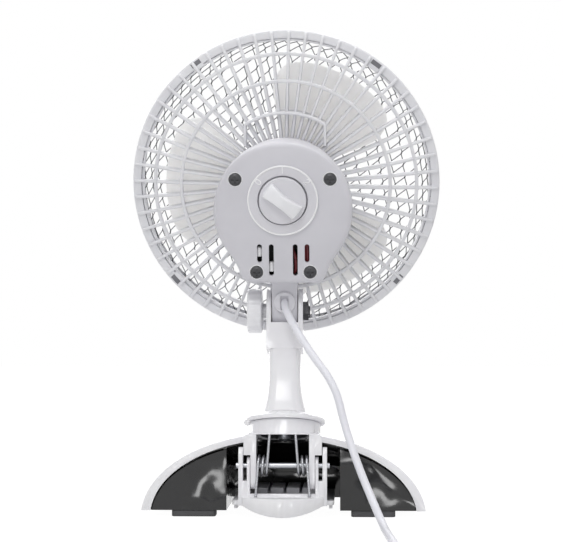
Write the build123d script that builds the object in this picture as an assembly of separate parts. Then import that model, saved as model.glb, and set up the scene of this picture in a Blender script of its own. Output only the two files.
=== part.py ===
from build123d import *
import os
from math import atan2, cos, degrees, pi, radians, sin, sqrt

# Table and clip fan with a 160 mm rotor, built as its real pieces. Millimetres, +Z up.
# Air leaves towards -Y and the controls face +Y. The origin lies on the table, in the
# middle of the box that holds the fan without its free cord.

# ---- Fits ----------------------------------------------------------------------------------------
running_gap = 0.05  # radial play of a shaft, pin or screw in its hole
moving_gap = 0.4  # between faces that pass each other as the fan moves
side_gap = 0.2  # between mouldings that lie side by side

# ---- Where the bodies stand ----------------------------------------------------------------------
rim_y = 38.0  # rear plane of the base dome
swivel_y = 16.5  # centre of the swivel face on top of the base
swivel_z = 53.8
stem_lean = 12.5  # the stem leans forward
stem_length = 69.6  # swivel face to tilt axis
head_tilt = 15.2  # the fan looks up at rest
axis_height = 73.5  # fan axis above the tilt axis
pivot_back = 23.5  # tilt axis behind the plane of the rear ribs

# ---- Cage ----------------------------------------------------------------------------------------
guard_radius = 95.0
rim_wall = 1.6
rim_lip = 5.2  # width of the flat lip that the ribs end on
rim_back = 6.0  # rib plane to the back of the front rim
rim_depth = 16.0
rim_draft = 2.0  # the front rim is smaller at its front edge
mesh_thickness = 1.2
mesh_edge = 2.4  # the mesh's flange behind the front rim
bowl_depth = 24.0  # how far the mesh stands in front of the rim
bowl_shoulder = 16.0  # radius lost at the bowl's shoulder
bowl_taper = 5.0  # radius lost along the bowl's side wall
crown_rise = 7.0  # rise of the bowl's nearly flat front
strand_width = 1.4
strand_step_x = 16.5  # the mesh repeats by these two slanted steps
strand_step_z = 15.0
second_step_x = 3.8
second_step_z = 18.8
badge_radius = 22.0
badge_thickness = 2.5
rib_count = 56
rib_width = 2.1
ring_width = 2.2
outer_ring_radius = 80.7
inner_ring_radius = 64.4
rib_end_back = 4.5  # how far the ribs' ends lie in front of the rib plane
outer_ring_back = 3.0
rib_depth = 8.0
rear_rim_back = 7.0  # rib plane to the back of the guard's own rim
rear_rim_depth = 4.5
rear_rim_wall = 1.4
hub_plate_radius = 38.0
hub_plate_thickness = 3.0
hub_plate_hole = 13.0
arch_radius = 45.3  # raised arch above the motor
arch_half_width = 24.4
arch_rise = 3.0
arch_wall = 1.6
latch_angles = (54.0, 127.0, 221.0, 319.0)
latch_width = 7.2
latch_recess = 0.8  # the latches lie this far below the front rim's lip
latch_depth = 3.6

# ---- Rotor ---------------------------------------------------------------------------------------
blade_reach = 13.1  # the blades' tips end this far inside the mesh's edge
blade_thickness = 1.6
blade_pitch = 14.0
blade_camber = 6.0
blade_tip_angle = 39.0  # half of a blade's angle at its tip
blade_root_angle = 34.0
blade_corner = 14.0
blade_angles = (-30.0, 90.0, 210.0)
blade_middle = 21.0  # rib plane to the middle of the blades
hub_radius = 17.0
hub_depth = 21.0
hub_wall = 2.0
hub_boss_radius = 6.0
nut_radius = 9.0
nut_depth = 7.0
shaft_radius = 2.5

# ---- Motor ---------------------------------------------------------------------------------------
core_front = 8.0  # rib plane to the front of the laminated core
core_depth = 16.0
core_half_width = 23.0
core_top = 17.0
core_bottom = 40.0
core_leg = 10.0
window_half_width = 14.0
window_top = 15.5
rotor_radius = 11.9
air_gap = 0.3
rotor_depth = 14.0
end_ring = 0.8
coil_build = 4.0
coil_half_width = 12.0
bracket_width = 14.0
bracket_thickness = 1.5
bush_radius = 4.0
cup_radius = 8.0
cup_depth = 4.4
motor_screw_x = 19.5
motor_screw_radius = 1.5
motor_screw_head = 2.8

# ---- Housing and controls ------------------------------------------------------------------------
housing_radius = 41.1
housing_drop = 6.9  # the round part sits below the fan axis
skirt_bottom = 50.4
skirt_wide_half = 27.3
skirt_wide_z = 39.8
skirt_low_half = 24.2
housing_wall = 2.0
housing_depth = 36.0
cover_depth = 11.5
cover_bevel = 1.6
shaft_hole = 4.0
upper_screw_x = 27.9
upper_screw_z = 12.4
lower_screw_x = 15.9
lower_screw_z = 43.5
cover_screw_radius = 1.45
cover_screw_head = 3.65
cover_screw_head_height = 1.6
screw_boss_wall = 2.0
slot_width = 2.6
slot_top = 26.6
short_slot_bottom = 37.6
long_slot_bottom = 45.7
outer_slot_x = 14.1
inner_slot_x = 7.1
ring_radius = 20.9
ring_height = 1.5
knob_radius = 14.7
knob_ring_gap = 0.8
knob_base = 3.0
knob_height = 11.0
grip_width = 10.0
grip_waist = 7.2
grip_end = 3.3  # knob's edge to the grip's ends
mark_radius = 18.1
mark_step = 52.0  # angle between the knob's positions
mark_height = 0.25
mark_stroke = 0.6
mark_length = 3.8
switch_width = 26.0
switch_height = 20.0
switch_depth = 13.0
switch_tab = 3.5
switch_shaft_radius = 2.9
wire_radius = 0.8
cap_radius = 2.5

# ---- Tilt joint ----------------------------------------------------------------------------------
tongue_width = 15.4
tongue_radius = 11.7
tilt_washer = 0.5
tilt_washer_radius = 9.0
ear_thickness = 2.75
ear_radius = 13.5
fork_floor = 9.7  # the fork is open down to this far below the tilt axis
bolt_radius = 2.9
clamp_knob_radius = 13.6
clamp_knob_thickness = 8.9
clamp_shank_radius = 4.6
clamp_shank_length = 3.0
nut_across_flats = 10.0
nut_thickness = 3.2
grommet_radius = 6.65
grommet_raise = 8.5  # grommet above the tilt axis, square to the fan axis
grommet_reach = 13.5  # grommet's face behind the tilt axis
grommet_depth = 7.0
cord_slot_height = 8.6

# ---- Stem ----------------------------------------------------------------------------------------
flange_radius = 24.4
flange_edge = 2.0
flange_height = 6.0
stem_widths = (  # heights above the swivel face and widths there
    (3.5, 27.5),
    (7.5, 25.0),
    (12.0, 22.6),
    (18.0, 20.4),
    (26.0, 19.1),
    (34.0, 19.0),
    (42.0, 19.3),
    (50.0, 19.7),
    (58.0, 20.0),
)
stem_depth_ratio = 0.92
stem_corner = 0.33
stem_wall = 2.4
spigot_radius = 9.0
spigot_length = 6.2
collar_radius = 21.7
collar_floor = 5.5
recess_radius = 16.0
swivel_washer_radius = 14.0
swivel_washer_thickness = 1.2
swivel_screw_radius = 2.0
swivel_screw_head = 4.0
swivel_screw_head_height = 2.6
swivel_screw_length = 15.0

# ---- Base ----------------------------------------------------------------------------------------
foot_height = 3.8
dome_half_width = 84.0
dome_height = 49.5
dome_depth = 97.0
dome_wall = 2.6
dome_lip_side = 5.4  # the rim's rear lip is wider at its ends than at its top
dome_lip_top = 3.5
dome_lip_depth = 2.0
liner_wall = 2.0
liner_recess = 2.0
bay_half_width = 33.5
bay_length = 81.0  # rim plane to the front of the clip's bay
bay_stop = 7.0  # depth of the ledge that the jaw closes against
portal_half_width = 22.9
portal_inner = 15.5
portal_top = 49.3
portal_bar = 1.5
portal_bottom = 37.0
portal_corner = 3.0
portal_before = 8.0
leg_thickness = 3.3
leg_width = 10.0
leg_bottom = 16.8
pin_y_behind_rim = 3.0
pin_z = 30.6
pin_radius = 1.65
pin_overhang = 1.5
base_screw_places = ((56.0, 14.0), (50.0, -14.0))
base_screw_radius = 1.5
base_screw_head = 3.0
base_boss_radius = 4.0
rear_foot_inner = 40.0
rear_foot_length = 26.0
rear_foot_depth = 12.0
front_foot_half = 22.0
front_foot_depth = 8.0

# ---- Clip lever ----------------------------------------------------------------------------------
cheek_inner_x = 19.1
inner_cheek = 1.8
outer_cheek = 2.6
arm_top = 22.0
arm_depth = 10.0
inner_cheek_radius = 5.2
outer_cheek_top = 41.4
jaw_bottom = 7.5
jaw_thickness = 2.5
jaw_half_width = 30.0
jaw_front_gap = 1.5
jaw_rib_depth = 2.5
jaw_rib_width = 2.0
lip_top = 12.5
lip_bottom = 1.8
lip_corner_z = 7.5
lip_reach = 20.0  # lip's rearmost point behind the rim plane at the middle
lip_side_reach = 10.0
lip_wall = 2.6
pad_height = 4.4
pad_half_width = 18.5
pad_blocks = 4
pad_length = 38.0
pad_gap = 1.6

# ---- Springs -------------------------------------------------------------------------------------
spring_wire = 0.8  # radius of the wire
spring_radius = 5.6
spring_turns = 2
spring_pitch = 2.7
spring_inner_x = 9.0
spring_rib = 2.0  # rib on the lever that the springs' lower legs press on

# ---- Cord ----------------------------------------------------------------------------------------
cord_radius = 2.25
turn_gap = 0.5
coil_middle_radius = 27.0
layer_turns = 3.375
coil_centre_y = 268.0
coil_entry_x = -61.0
tail_length = 12.0
plug_relief = 22.0
plug_length = 33.0
plug_width = 27.0
plug_point = 12.0
plug_pin_radius = 2.0
plug_pin_spacing = 18.6
plug_pin_length = 19.0
plug_pin_seat = 6.0
cord_start = 6.8  # the modelled cord starts this far inside the grommet's face, where its bore ends
cord_first_run = 13.8
cord_route = (
    (-5.0, 37.7, 114.8),
    (-15.1, 48.7, 98.6),
    (-31.0, 57.5, 78.0),
    (-36.3, 63.0, 55.0),
    (-44.6, 72.0, 31.0),
    (-53.2, 86.0, 11.5),
    (-57.8, 107.0, cord_radius),
    (-59.4, 140.0, cord_radius),
    (-62.0, 184.0, cord_radius),
    (coil_entry_x, 228.0, cord_radius),
)

# ---- Worked out from the sizes above -------------------------------------------------------------
fork_inner = tongue_width / 2 + tilt_washer + running_gap
fork_outer = fork_inner + ear_thickness
tongue_seat = tongue_radius + moving_gap + side_gap
cover_back = housing_depth + cover_depth
pin_y = rim_y + pin_y_behind_rim
spring_rest_y = pin_y + spring_radius - spring_wire - running_gap
turn_step = 2 * cord_radius + turn_gap
coil_outer_radius = coil_middle_radius + layer_turns * turn_step / 2
coil_inner_radius = coil_middle_radius - layer_turns * turn_step / 2
coil_centre_x = coil_entry_x + coil_outer_radius
upper_layer_z = cord_radius + turn_step
arm_outer_x = portal_half_width + moving_gap + outer_cheek
rim_front = rim_back + rim_depth
mesh_radius = guard_radius - rim_draft - rim_wall - mesh_edge
blade_radius = mesh_radius - blade_reach

stem_place = Pos(0, swivel_y, swivel_z) * Rot(stem_lean, 0, 0)
pivot_place = stem_place * Pos(0, 0, stem_length)
fan_place = pivot_place * Rot(-stem_lean - head_tilt, 0, 0) * Pos(0, -pivot_back, axis_height)


# ---- Shapes that several pieces share ------------------------------------------------------------
def turned(corners):
    """Solid of revolution about Y, from its corners as (radius, y)."""
    return revolve(make_face(Polyline(*corners, close=True)), Axis.Y)


def turned_x(corners):
    """Solid of revolution about X, from its corners as (x, radius)."""
    return revolve(make_face(Polyline(*corners, close=True)), Axis.X)


def turned_z(corners):
    """Solid of revolution about Z, from its corners as (radius, z)."""
    return revolve(make_face(Plane.XZ * Polyline(*corners, close=True)), Axis.Z)


def ring_y(inner, outer, low, high):
    """Ring or disc about Y between two places on Y."""
    return turned([(inner, low), (outer, low), (outer, high), (inner, high)])


def ring_x(inner, outer, low, high):
    """Ring or disc about X between two places on X."""
    return turned_x([(low, inner), (low, outer), (high, outer), (high, inner)])


def ring_z(inner, outer, low, high):
    """Ring or disc about Z between two places on Z."""
    return turned_z([(inner, low), (outer, low), (outer, high), (inner, high)])


def slab_y(outline, low, high):
    """Prism along Y of an outline drawn as (x, z)."""
    return extrude(Plane.XZ.offset(-high) * outline, high - low)


def slab_x(outline, low, high):
    """Prism along X of an outline drawn as (y, z)."""
    return extrude(Plane.YZ.offset(low) * outline, high - low)


def slab_z(outline, low, high):
    """Prism along Z of an outline drawn as (x, y)."""
    return extrude(Plane.XY.offset(low) * outline, high - low)


def block(x_range, y_range, z_range):
    """Box between three pairs of limits."""
    middle = [(low + high) / 2 for low, high in (x_range, y_range, z_range)]
    size = [high - low for low, high in (x_range, y_range, z_range)]
    return Pos(*middle) * Box(*size)


def both_sides(solid):
    """The solid and its mirror image across the fan's middle plane."""
    return solid + mirror(solid, Plane.YZ)


def about_fan_axis(solid, angle):
    """The solid turned about the fan axis."""
    return Rot(0, angle, 0) * solid


def screw(place_x, place_z, shank, head, face, head_height, length):
    """Cross-head screw along Y whose head stands behind a face."""
    body = ring_y(0, shank, face - length, face)
    top = turned([(0, face), (head, face), (head, face + 0.6 * head_height),
                  (0.6 * head, face + head_height), (0, face + head_height)])
    groove = 0.28 * head
    reach = 0.6 * head
    depth = 0.7 * head_height
    cross = block((-reach, reach), (face + head_height - depth, face + head_height + 1),
                  (-groove / 2, groove / 2))
    cross += block((-groove / 2, groove / 2), (face + head_height - depth, face + head_height + 1),
                   (-reach, reach))
    return Pos(place_x, 0, place_z) * (body + top - cross)


# ---- Cage ----------------------------------------------------------------------------------------
def front_rim():
    """Moulded rim that carries the mesh, with a flat lip and four slots for the latches."""
    outer = guard_radius
    front = outer - rim_draft
    rim = turned([
        (outer - rim_lip, -rim_back),
        (outer, -rim_back),
        (outer, -rim_back - rim_depth / 4),
        (front, -rim_front),
        (mesh_radius, -rim_front),
        (mesh_radius, -rim_front + rim_wall),
        (front - rim_wall, -rim_front + rim_wall),
        (outer - rim_wall, -rim_back - rim_depth / 4),
        (outer - rim_wall, -rim_back - rim_wall),
        (outer - rim_lip, -rim_back - rim_wall),
    ])
    half = latch_width / 2 + side_gap
    slot = block((outer - rim_lip - 1, outer - rim_wall), (-rim_back - rim_wall - 1, -rim_back + 1),
                 (-half, half))
    for angle in latch_angles:
        rim -= about_fan_axis(slot, -angle)
    return rim


def bowl(inset):
    """Filled bowl of the front mesh, smaller by an inset all round."""
    edge = mesh_radius - side_gap - inset
    shoulder = edge - bowl_shoulder
    back = -rim_front + rim_wall
    front = -rim_front - bowl_depth + inset
    wall_front = -rim_front - 0.4 * bowl_depth
    shoulder_y = front + crown_rise
    crown_radius = (shoulder**2 + crown_rise**2) / (2 * crown_rise)
    middle = shoulder / 2
    middle_y = front + crown_radius - sqrt(crown_radius**2 - middle**2)
    crown = ThreePointArc((0, front), (middle, middle_y), (shoulder, shoulder_y))
    corner = TangentArc((shoulder, shoulder_y), (edge - bowl_taper, wall_front), tangent=crown % 1)
    side = Polyline((edge - bowl_taper, wall_front), (edge, back), (0, back), (0, front))
    return revolve(make_face(crown + corner + side), Axis.Y)


def lattice():
    """Diamond net of crossing strands as (x, z), as large as the bowl."""
    reach = 2.2 * mesh_radius
    cell = strand_step_x * second_step_z + strand_step_z * second_step_x
    families = ((strand_step_x, -strand_step_z), (second_step_x, second_step_z))
    strands = []
    for step_x, step_z in families:
        spacing = cell / sqrt(step_x**2 + step_z**2)
        count = int(mesh_radius / spacing)
        slope = degrees(atan2(step_z, step_x))
        for number in range(-count, count + 1):
            strands.append(Rot(0, 0, slope) * Pos(0, number * spacing) * Rectangle(reach, strand_width))
    return Sketch() + strands


def front_mesh():
    """Diamond mesh bowl with its edge flange and the flat that the badge sits on."""
    shell = bowl(0) - bowl(mesh_thickness)
    front = -rim_front - bowl_depth
    net = shell & slab_y(lattice(), front - 1, -rim_front + rim_wall)
    back = -rim_front + rim_wall
    edge = mesh_radius - side_gap
    flange = ring_y(edge - mesh_thickness, mesh_radius + mesh_edge - 2 * side_gap,
                    back, back + mesh_thickness)
    band = ring_y(edge - mesh_thickness, edge, -rim_front - 1, back + mesh_thickness)
    seat = ring_y(0, badge_radius - 2, front, front + 2 * mesh_thickness)
    return net + [band, flange, seat]


def front_badge():
    """Bare round badge at the middle of the mesh."""
    back = -rim_front - bowl_depth
    front = back - badge_thickness
    return turned([(0, back), (badge_radius, back), (badge_radius, back - 1.2),
                   (badge_radius - 2.5, front + 0.4), (0, front)])


def rib_profile():
    """Turned solid that gives the rear guard's spokes their depth."""
    end = guard_radius - 0.4
    lip = guard_radius - rim_lip - side_gap
    return turned([
        (hub_plate_hole, 0),
        (inner_ring_radius, 0),
        (outer_ring_radius, -outer_ring_back),
        (end, -rib_end_back),
        (end, -rim_back),
        (lip, -rim_back),
        (lip, -rib_depth),
        (hub_plate_hole, -rib_depth),
    ])


def rear_guard():
    """Rear guard: ribs, rings, hub plate, raised arch and four latches."""
    lip = guard_radius - rim_lip - side_gap
    start = hub_plate_radius - hub_plate_thickness
    spoke = Pos((start + guard_radius) / 2, 0) * Rectangle(guard_radius - start, rib_width)
    bars = [Rot(0, 0, 90 + number * 360 / rib_count) * spoke for number in range(rib_count)]
    for radius in (inner_ring_radius, outer_ring_radius):
        bars.append(Circle(radius + ring_width / 2) - Circle(radius - ring_width / 2))
    spokes = rib_profile() & slab_y(Sketch() + bars, -2 * rib_depth, rib_depth)
    rim = ring_y(lip - rear_rim_wall, lip, -rear_rim_back - rear_rim_depth, -rear_rim_back)
    plate = ring_y(hub_plate_hole, hub_plate_radius, -hub_plate_thickness, 0)
    latches = [about_fan_axis(latch(), -angle) for angle in latch_angles]
    return spokes + [rim, plate, rear_arch()] + latches


def rear_arch():
    """Raised arch that stands round the top of the motor housing."""
    arch = Circle(arch_radius) - Circle(arch_radius - arch_wall)
    wall_bottom = sqrt(housing_radius**2 - arch_half_width**2) - housing_drop
    wall_top = sqrt(arch_radius**2 - arch_half_width**2)
    high = Pos(0, arch_radius) * Rectangle(2 * arch_half_width, 2 * (arch_radius - wall_top))
    frame = arch & high
    for side in (-1, 1):
        place = Pos(side * (arch_half_width - arch_wall / 2), (wall_bottom + wall_top) / 2)
        frame += place * Rectangle(arch_wall, wall_top - wall_bottom + 1)
    return slab_y(frame, -rib_depth, 0) + slab_y(frame - housing_outline(-side_gap), 0, arch_rise)


def latch():
    """Tab of the guard's own rim that snaps into a slot of the front rim, at the +X side."""
    inner = guard_radius - rim_lip - side_gap - rear_rim_wall
    back = -rim_back - latch_recess
    return block((inner, guard_radius - rim_wall - side_gap), (back - latch_depth, back),
                 (-latch_width / 2, latch_width / 2))


# ---- Rotor ---------------------------------------------------------------------------------------
def blade_sheet():
    """One cambered and pitched blade above the hub."""
    root = hub_radius - hub_wall / 2

    def at(radius, angle):
        return (radius * sin(radians(angle)), radius * cos(radians(angle)))

    edge = Line(at(root, -blade_root_angle), at(blade_radius, -blade_tip_angle))
    edge += ThreePointArc(at(blade_radius, -blade_tip_angle), at(blade_radius, 0),
                          at(blade_radius, blade_tip_angle))
    edge += Line(at(blade_radius, blade_tip_angle), at(root, blade_root_angle))
    edge += Line(at(root, blade_root_angle), at(root, -blade_root_angle))
    outline = make_face(edge)
    tips = outline.vertices().filter_by(lambda v: Vector(v).length > blade_radius - 1)
    outline = fillet(tips, blade_corner)
    half_chord = blade_radius * sin(radians(blade_tip_angle))
    bend = half_chord**2 / (2 * blade_camber)
    sheet = ring_z(bend - blade_thickness / 2, bend + blade_thickness / 2, 0, 1.2 * blade_radius)
    sheet = Rot(0, 0, blade_pitch) * Pos(0, -bend + blade_camber / 2, 0) * sheet
    sheet &= block((-blade_radius, blade_radius), (-bend / 2, bend), (0, 1.2 * blade_radius))
    return (Pos(0, -blade_middle, 0) * sheet) & slab_y(outline, -2 * blade_middle, blade_middle)


def fan_blade():
    """Three blades on a hub that opens towards the motor."""
    front = -blade_middle - hub_depth / 2
    back = -blade_middle + hub_depth / 2
    hub = ring_y(0, hub_radius, front, back)
    hub -= ring_y(hub_boss_radius, hub_radius - hub_wall, front + hub_wall, back)
    rotor = hub
    for angle in blade_angles:
        rotor += about_fan_axis(blade_sheet(), angle) - ring_y(0, hub_radius - hub_wall, front, back)
    return rotor - ring_y(0, shaft_radius + running_gap, front, back)


def blade_nut():
    """Domed nut that holds the blades on the shaft."""
    back = -blade_middle - hub_depth / 2
    front = back - nut_depth
    nut = turned([(0, back), (nut_radius, back), (nut_radius - 1, back - 0.6 * nut_depth),
                  (nut_radius - 4, front), (0, front)])
    return nut - ring_y(0, shaft_radius + running_gap, front + 1.5, back)


def motor_shaft():
    """Steel shaft from the blade nut to the rear bush."""
    front = -blade_middle - hub_depth / 2 - nut_depth + 2
    return ring_y(0, shaft_radius, front, core_front + core_depth + cup_depth - 0.5)


def motor_rotor():
    """Laminated rotor with its end rings."""
    low = core_front + (core_depth - rotor_depth) / 2
    high = low + rotor_depth
    drum = ring_y(shaft_radius + running_gap, rotor_radius, low, high)
    drum += ring_y(rotor_radius - 4, rotor_radius - 0.6, low - end_ring, low)
    drum += ring_y(rotor_radius - 4, rotor_radius - 0.6, high, high + end_ring)
    return drum


# ---- Motor ---------------------------------------------------------------------------------------
def motor_core():
    """C-shaped stack of laminations with the rotor bore and the coil's window."""
    low, high = core_front, core_front + core_depth
    stack = block((-core_half_width, core_half_width), (low, high), (-core_bottom, core_top))
    stack = fillet(stack.edges().filter_by(Axis.Y), 3)
    stack -= ring_y(0, rotor_radius + air_gap, low, high)
    stack -= block((-window_half_width, window_half_width), (low, high),
                   (-core_bottom + core_leg, -window_top))
    for side in (-1, 1):
        stack -= Pos(side * motor_screw_x, 0, 0) * ring_y(0, motor_screw_radius + running_gap, low, high)
    return stack


def motor_coil():
    """Coil and its bobbin round the core's lower leg."""
    low, high = core_front - coil_build, core_front + core_depth + coil_build
    top = -core_bottom + core_leg + coil_build
    coil = block((-coil_half_width, coil_half_width), (low, high), (-core_bottom - coil_build, top))
    coil = fillet(coil.edges().filter_by(Axis.X), 2.5)
    return coil - block((-coil_half_width, coil_half_width),
                        (core_front - running_gap, core_front + core_depth + running_gap),
                        (-core_bottom - running_gap, -core_bottom + core_leg + running_gap))


def motor_bracket(face, direction):
    """Bridge with a bearing cup, fixed to one face of the core."""
    def span(start, end):
        ends = (face + direction * start, face + direction * end)
        return min(ends), max(ends)

    strip = block((-core_half_width, core_half_width), span(0, bracket_thickness),
                  (-bracket_width / 2, bracket_width / 2))
    strip += ring_y(0, cup_radius, *span(0, cup_depth))
    strip -= ring_y(0, cup_radius - 1.5, *span(0, end_ring + side_gap))
    strip -= ring_y(0, bush_radius + running_gap, *span(0, cup_depth))
    for side in (-1, 1):
        hole = ring_y(0, motor_screw_radius + running_gap, *span(0, cup_depth))
        strip -= Pos(side * motor_screw_x, 0, 0) * hole
    return strip


def bush(face, direction):
    """Sintered bush in a bearing cup."""
    ends = (face + direction * (end_ring + side_gap), face + direction * (cup_depth - 0.2))
    return ring_y(shaft_radius + running_gap, bush_radius, min(ends), max(ends))


def motor_screws():
    """Two long screws through brackets and core into the housing."""
    face = core_front + core_depth + bracket_thickness
    length = face - housing_wall - 1
    left = screw(motor_screw_x, 0, motor_screw_radius, motor_screw_head, face, 2.0, length)
    return left + mirror(left, Plane.YZ)


# ---- Housing -------------------------------------------------------------------------------------
def housing_outline(inset):
    """Outline of housing and cover as (x, z): a disc with a narrower skirt below."""
    wide = skirt_wide_half - inset
    low = skirt_low_half - inset
    bottom = -skirt_bottom + inset
    slope = (skirt_wide_half - skirt_low_half) / (skirt_bottom - skirt_wide_z)
    top = -housing_drop - 0.55 * housing_radius
    top_half = wide + slope * (top + skirt_wide_z)
    corners = ((-top_half, top), (top_half, top), (low, bottom), (-low, bottom))
    skirt = make_face(Polyline(*corners, close=True))
    corners = skirt.vertices().filter_by(lambda v: v.Y < -skirt_wide_z)
    skirt = fillet(corners, 4.0 - 0.5 * inset)
    return skirt + Pos(0, -housing_drop) * Circle(housing_radius - inset)


def screw_places():
    """The four cover screws as (x, z)."""
    return [(side * x, z) for side in (-1, 1)
            for x, z in ((upper_screw_x, upper_screw_z), (lower_screw_x, -lower_screw_z))]


def tongue_profile():
    """Side view of the tilt tongue as (y, z): round about the tilt axis, wider at the housing."""
    round_end = Pos(pivot_back, -axis_height) * Circle(tongue_radius)
    top = -skirt_bottom + housing_wall
    neck = make_face(Polyline(
        (pivot_back - tongue_radius, -axis_height),
        (pivot_back + tongue_radius, -axis_height),
        (pivot_back + tongue_radius, top),
        (pivot_back - tongue_radius - 3, top),
        close=True,
    ))
    return round_end + neck


def motor_housing():
    """Motor housing with its tilt tongue, screw bosses and the channel for the cord."""
    body = slab_y(housing_outline(0), 0, housing_depth)
    body -= slab_y(housing_outline(housing_wall), housing_wall + 0.5, housing_depth)
    for x, z in screw_places():
        boss = ring_y(0, cover_screw_radius + screw_boss_wall, housing_wall, housing_depth)
        body += Pos(x, 0, z) * boss
        hole = ring_y(0, cover_screw_radius + running_gap, housing_depth - 16, housing_depth)
        body -= Pos(x, 0, z) * hole
    for side in (-1, 1):
        post = ring_y(0, motor_screw_radius + 2.5, housing_wall, core_front - bracket_thickness)
        body += Pos(side * motor_screw_x, 0, 0) * post
        hole = ring_y(0, motor_screw_radius + running_gap, housing_wall, core_front)
        body -= Pos(side * motor_screw_x, 0, 0) * hole
    body -= ring_y(0, shaft_hole, 0, housing_wall + 0.5)
    body += slab_x(tongue_profile(), -tongue_width / 2, tongue_width / 2)
    bore = ring_x(0, bolt_radius + running_gap, -tongue_width, tongue_width)
    body -= Pos(0, pivot_back, -axis_height) * bore
    seat_z = -axis_height + grommet_raise
    seat_back = pivot_back + grommet_reach
    seat = ring_y(0, grommet_radius - 1 + running_gap, seat_back - grommet_depth, seat_back)
    channel = ring_z(0, 1.2 * cord_radius, seat_z, -skirt_bottom + 2 * housing_wall)
    return body - Pos(0, 0, seat_z) * seat - Pos(0, seat_back - grommet_depth, 0) * channel


def rear_cover():
    """Rear cover with bevelled edge, vents, screw seats and the switch hole."""
    cap = slab_y(housing_outline(0), housing_depth, cover_back)
    rim = cap.faces().sort_by(Axis.Y)[-1].edges()
    cap = chamfer(rim, cover_bevel)
    cap -= slab_y(housing_outline(housing_wall), housing_depth, cover_back - housing_wall)
    for x, z in screw_places():
        boss = ring_y(0, cover_screw_radius + screw_boss_wall, housing_depth, cover_back - housing_wall)
        cap += Pos(x, 0, z) * boss
        cap -= Pos(x, 0, z) * ring_y(0, cover_screw_radius + running_gap, housing_depth, cover_back)
        cap -= Pos(x, 0, z) * ring_y(0, cover_screw_head + side_gap, cover_back - 0.6, cover_back)
    for x, bottom in ((outer_slot_x, short_slot_bottom), (inner_slot_x, long_slot_bottom)):
        length = bottom - slot_top
        slot = Pos(x, -(slot_top + bottom) / 2) * SlotOverall(length, slot_width, rotation=90)
        cap -= both_sides(slab_y(slot, housing_depth, cover_back))
    return cap - ring_y(0, switch_shaft_radius + 1.5, housing_depth, cover_back)


def cover_screws():
    """Four cross-head screws that hold the rear cover."""
    face = cover_back - 0.6
    pieces = [screw(x, z, cover_screw_radius, cover_screw_head, face, cover_screw_head_height, 20)
              for x, z in screw_places()]
    return pieces[0] + pieces[1] + pieces[2] + pieces[3]


def digit_two():
    """Outline of the figure 2 about its own middle."""
    half = mark_length / 2
    across = 0.6 * half
    curve = ThreePointArc((-across, half / 2), (0, half), (across, 0.4 * half))
    foot = Polyline((across, 0.4 * half), (-across, -half), (across, -half))
    return trace(curve, mark_stroke) + trace(foot, mark_stroke)


def dial_ring():
    """Ring round the knob with raised marks for off, slow and fast."""
    top = cover_back + ring_height
    inner = knob_radius + knob_ring_gap
    ring = turned([(inner, cover_back), (ring_radius, cover_back), (ring_radius, top - 0.5),
                   (ring_radius - 0.5, top), (inner, top)])
    zero = Ellipse(0.35 * mark_length, mark_length / 2)
    zero -= Ellipse(0.35 * mark_length - mark_stroke, mark_length / 2 - mark_stroke)
    marks = ((zero, -mark_step), (Rectangle(mark_stroke, mark_length), 0), (digit_two(), mark_step))
    for mark, angle in marks:
        # From behind, a turn to the left is towards +X, so the drawing is mirrored.
        drawn = mirror(mark, Plane.YZ)
        place = (-mark_radius * sin(radians(angle)), mark_radius * cos(radians(angle)))
        ring += slab_y(Pos(*place) * drawn, top, top + mark_height)
    return ring


def speed_knob():
    """Round knob with a waisted grip that points at its setting."""
    low = cover_back + 0.3
    base = turned([(0, low), (knob_radius, low), (knob_radius, low + knob_base - 0.6),
                   (knob_radius - 0.6, low + knob_base), (0, low + knob_base)])
    half = knob_radius - grip_end
    side = ThreePointArc((grip_width / 2, -half), (grip_waist / 2, 0), (grip_width / 2, half))
    end = ThreePointArc((grip_width / 2, half), (0, half + 0.5), (-grip_width / 2, half))
    other = ThreePointArc((-grip_width / 2, half), (-grip_waist / 2, 0), (-grip_width / 2, -half))
    foot = ThreePointArc((-grip_width / 2, -half), (0, -half - 0.5), (grip_width / 2, -half))
    grip = slab_y(make_face(side + end + other + foot), low, low + knob_height)
    grip = fillet(grip.faces().sort_by(Axis.Y)[-1].edges(), 0.8)
    crown = turned([(0, low), (knob_radius, low), (knob_radius, low + knob_base),
                    (knob_radius - 3, low + knob_height), (0, low + knob_height)])
    grip &= crown
    knob = base + about_fan_axis(grip, mark_step)
    return knob - ring_y(0, switch_shaft_radius + running_gap, low, low + knob_height - 2.5)


def switch_body():
    """Rotary switch behind the cover."""
    back = cover_back - housing_wall
    box = block((-switch_width / 2, switch_width / 2), (back - switch_depth, back),
                (-switch_height / 2, switch_height / 2))
    box = fillet(box.edges().filter_by(Axis.Y), 1.5)
    for x in (-8, 0, 8):
        tab = (back - switch_depth - switch_tab, back - switch_depth)
        box += block((x - 2.4, x + 2.4), tab, (-7.5, -6.7))
    return box - ring_y(0, switch_shaft_radius + running_gap, back - switch_depth + 3, back)


def switch_shaft():
    """Shaft that the knob turns the switch with."""
    back = cover_back - housing_wall
    return ring_y(0, switch_shaft_radius, back - switch_depth + 3.5, cover_back + 0.3 + knob_height - 3)


def tube(points, radii, radius):
    """Round tube along straight runs joined by tangent arcs."""
    path = FilletPolyline(*points, radius=radii)
    start = path % 0
    section = Plane(origin=path @ 0, z_dir=start) * Circle(radius)
    return sweep(section, path=path)


def lead_wires():
    """Insulated leads between switch and coil."""
    depth = cover_back - housing_wall - 3
    wires = []
    for number, x in enumerate((-13.0, -9.5, -6.0)):
        low = -36.0 - 2.4 * number
        y = depth - 1.9 * number
        points = [(x + 4, y - 9, -12), (x, y, -22), (x - 1, y, low), (x + 5, y - 6, low - 5)]
        wires.append(tube(points, [5.0, 3.0], wire_radius))
    return wires[0] + wires[1] + wires[2]


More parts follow.
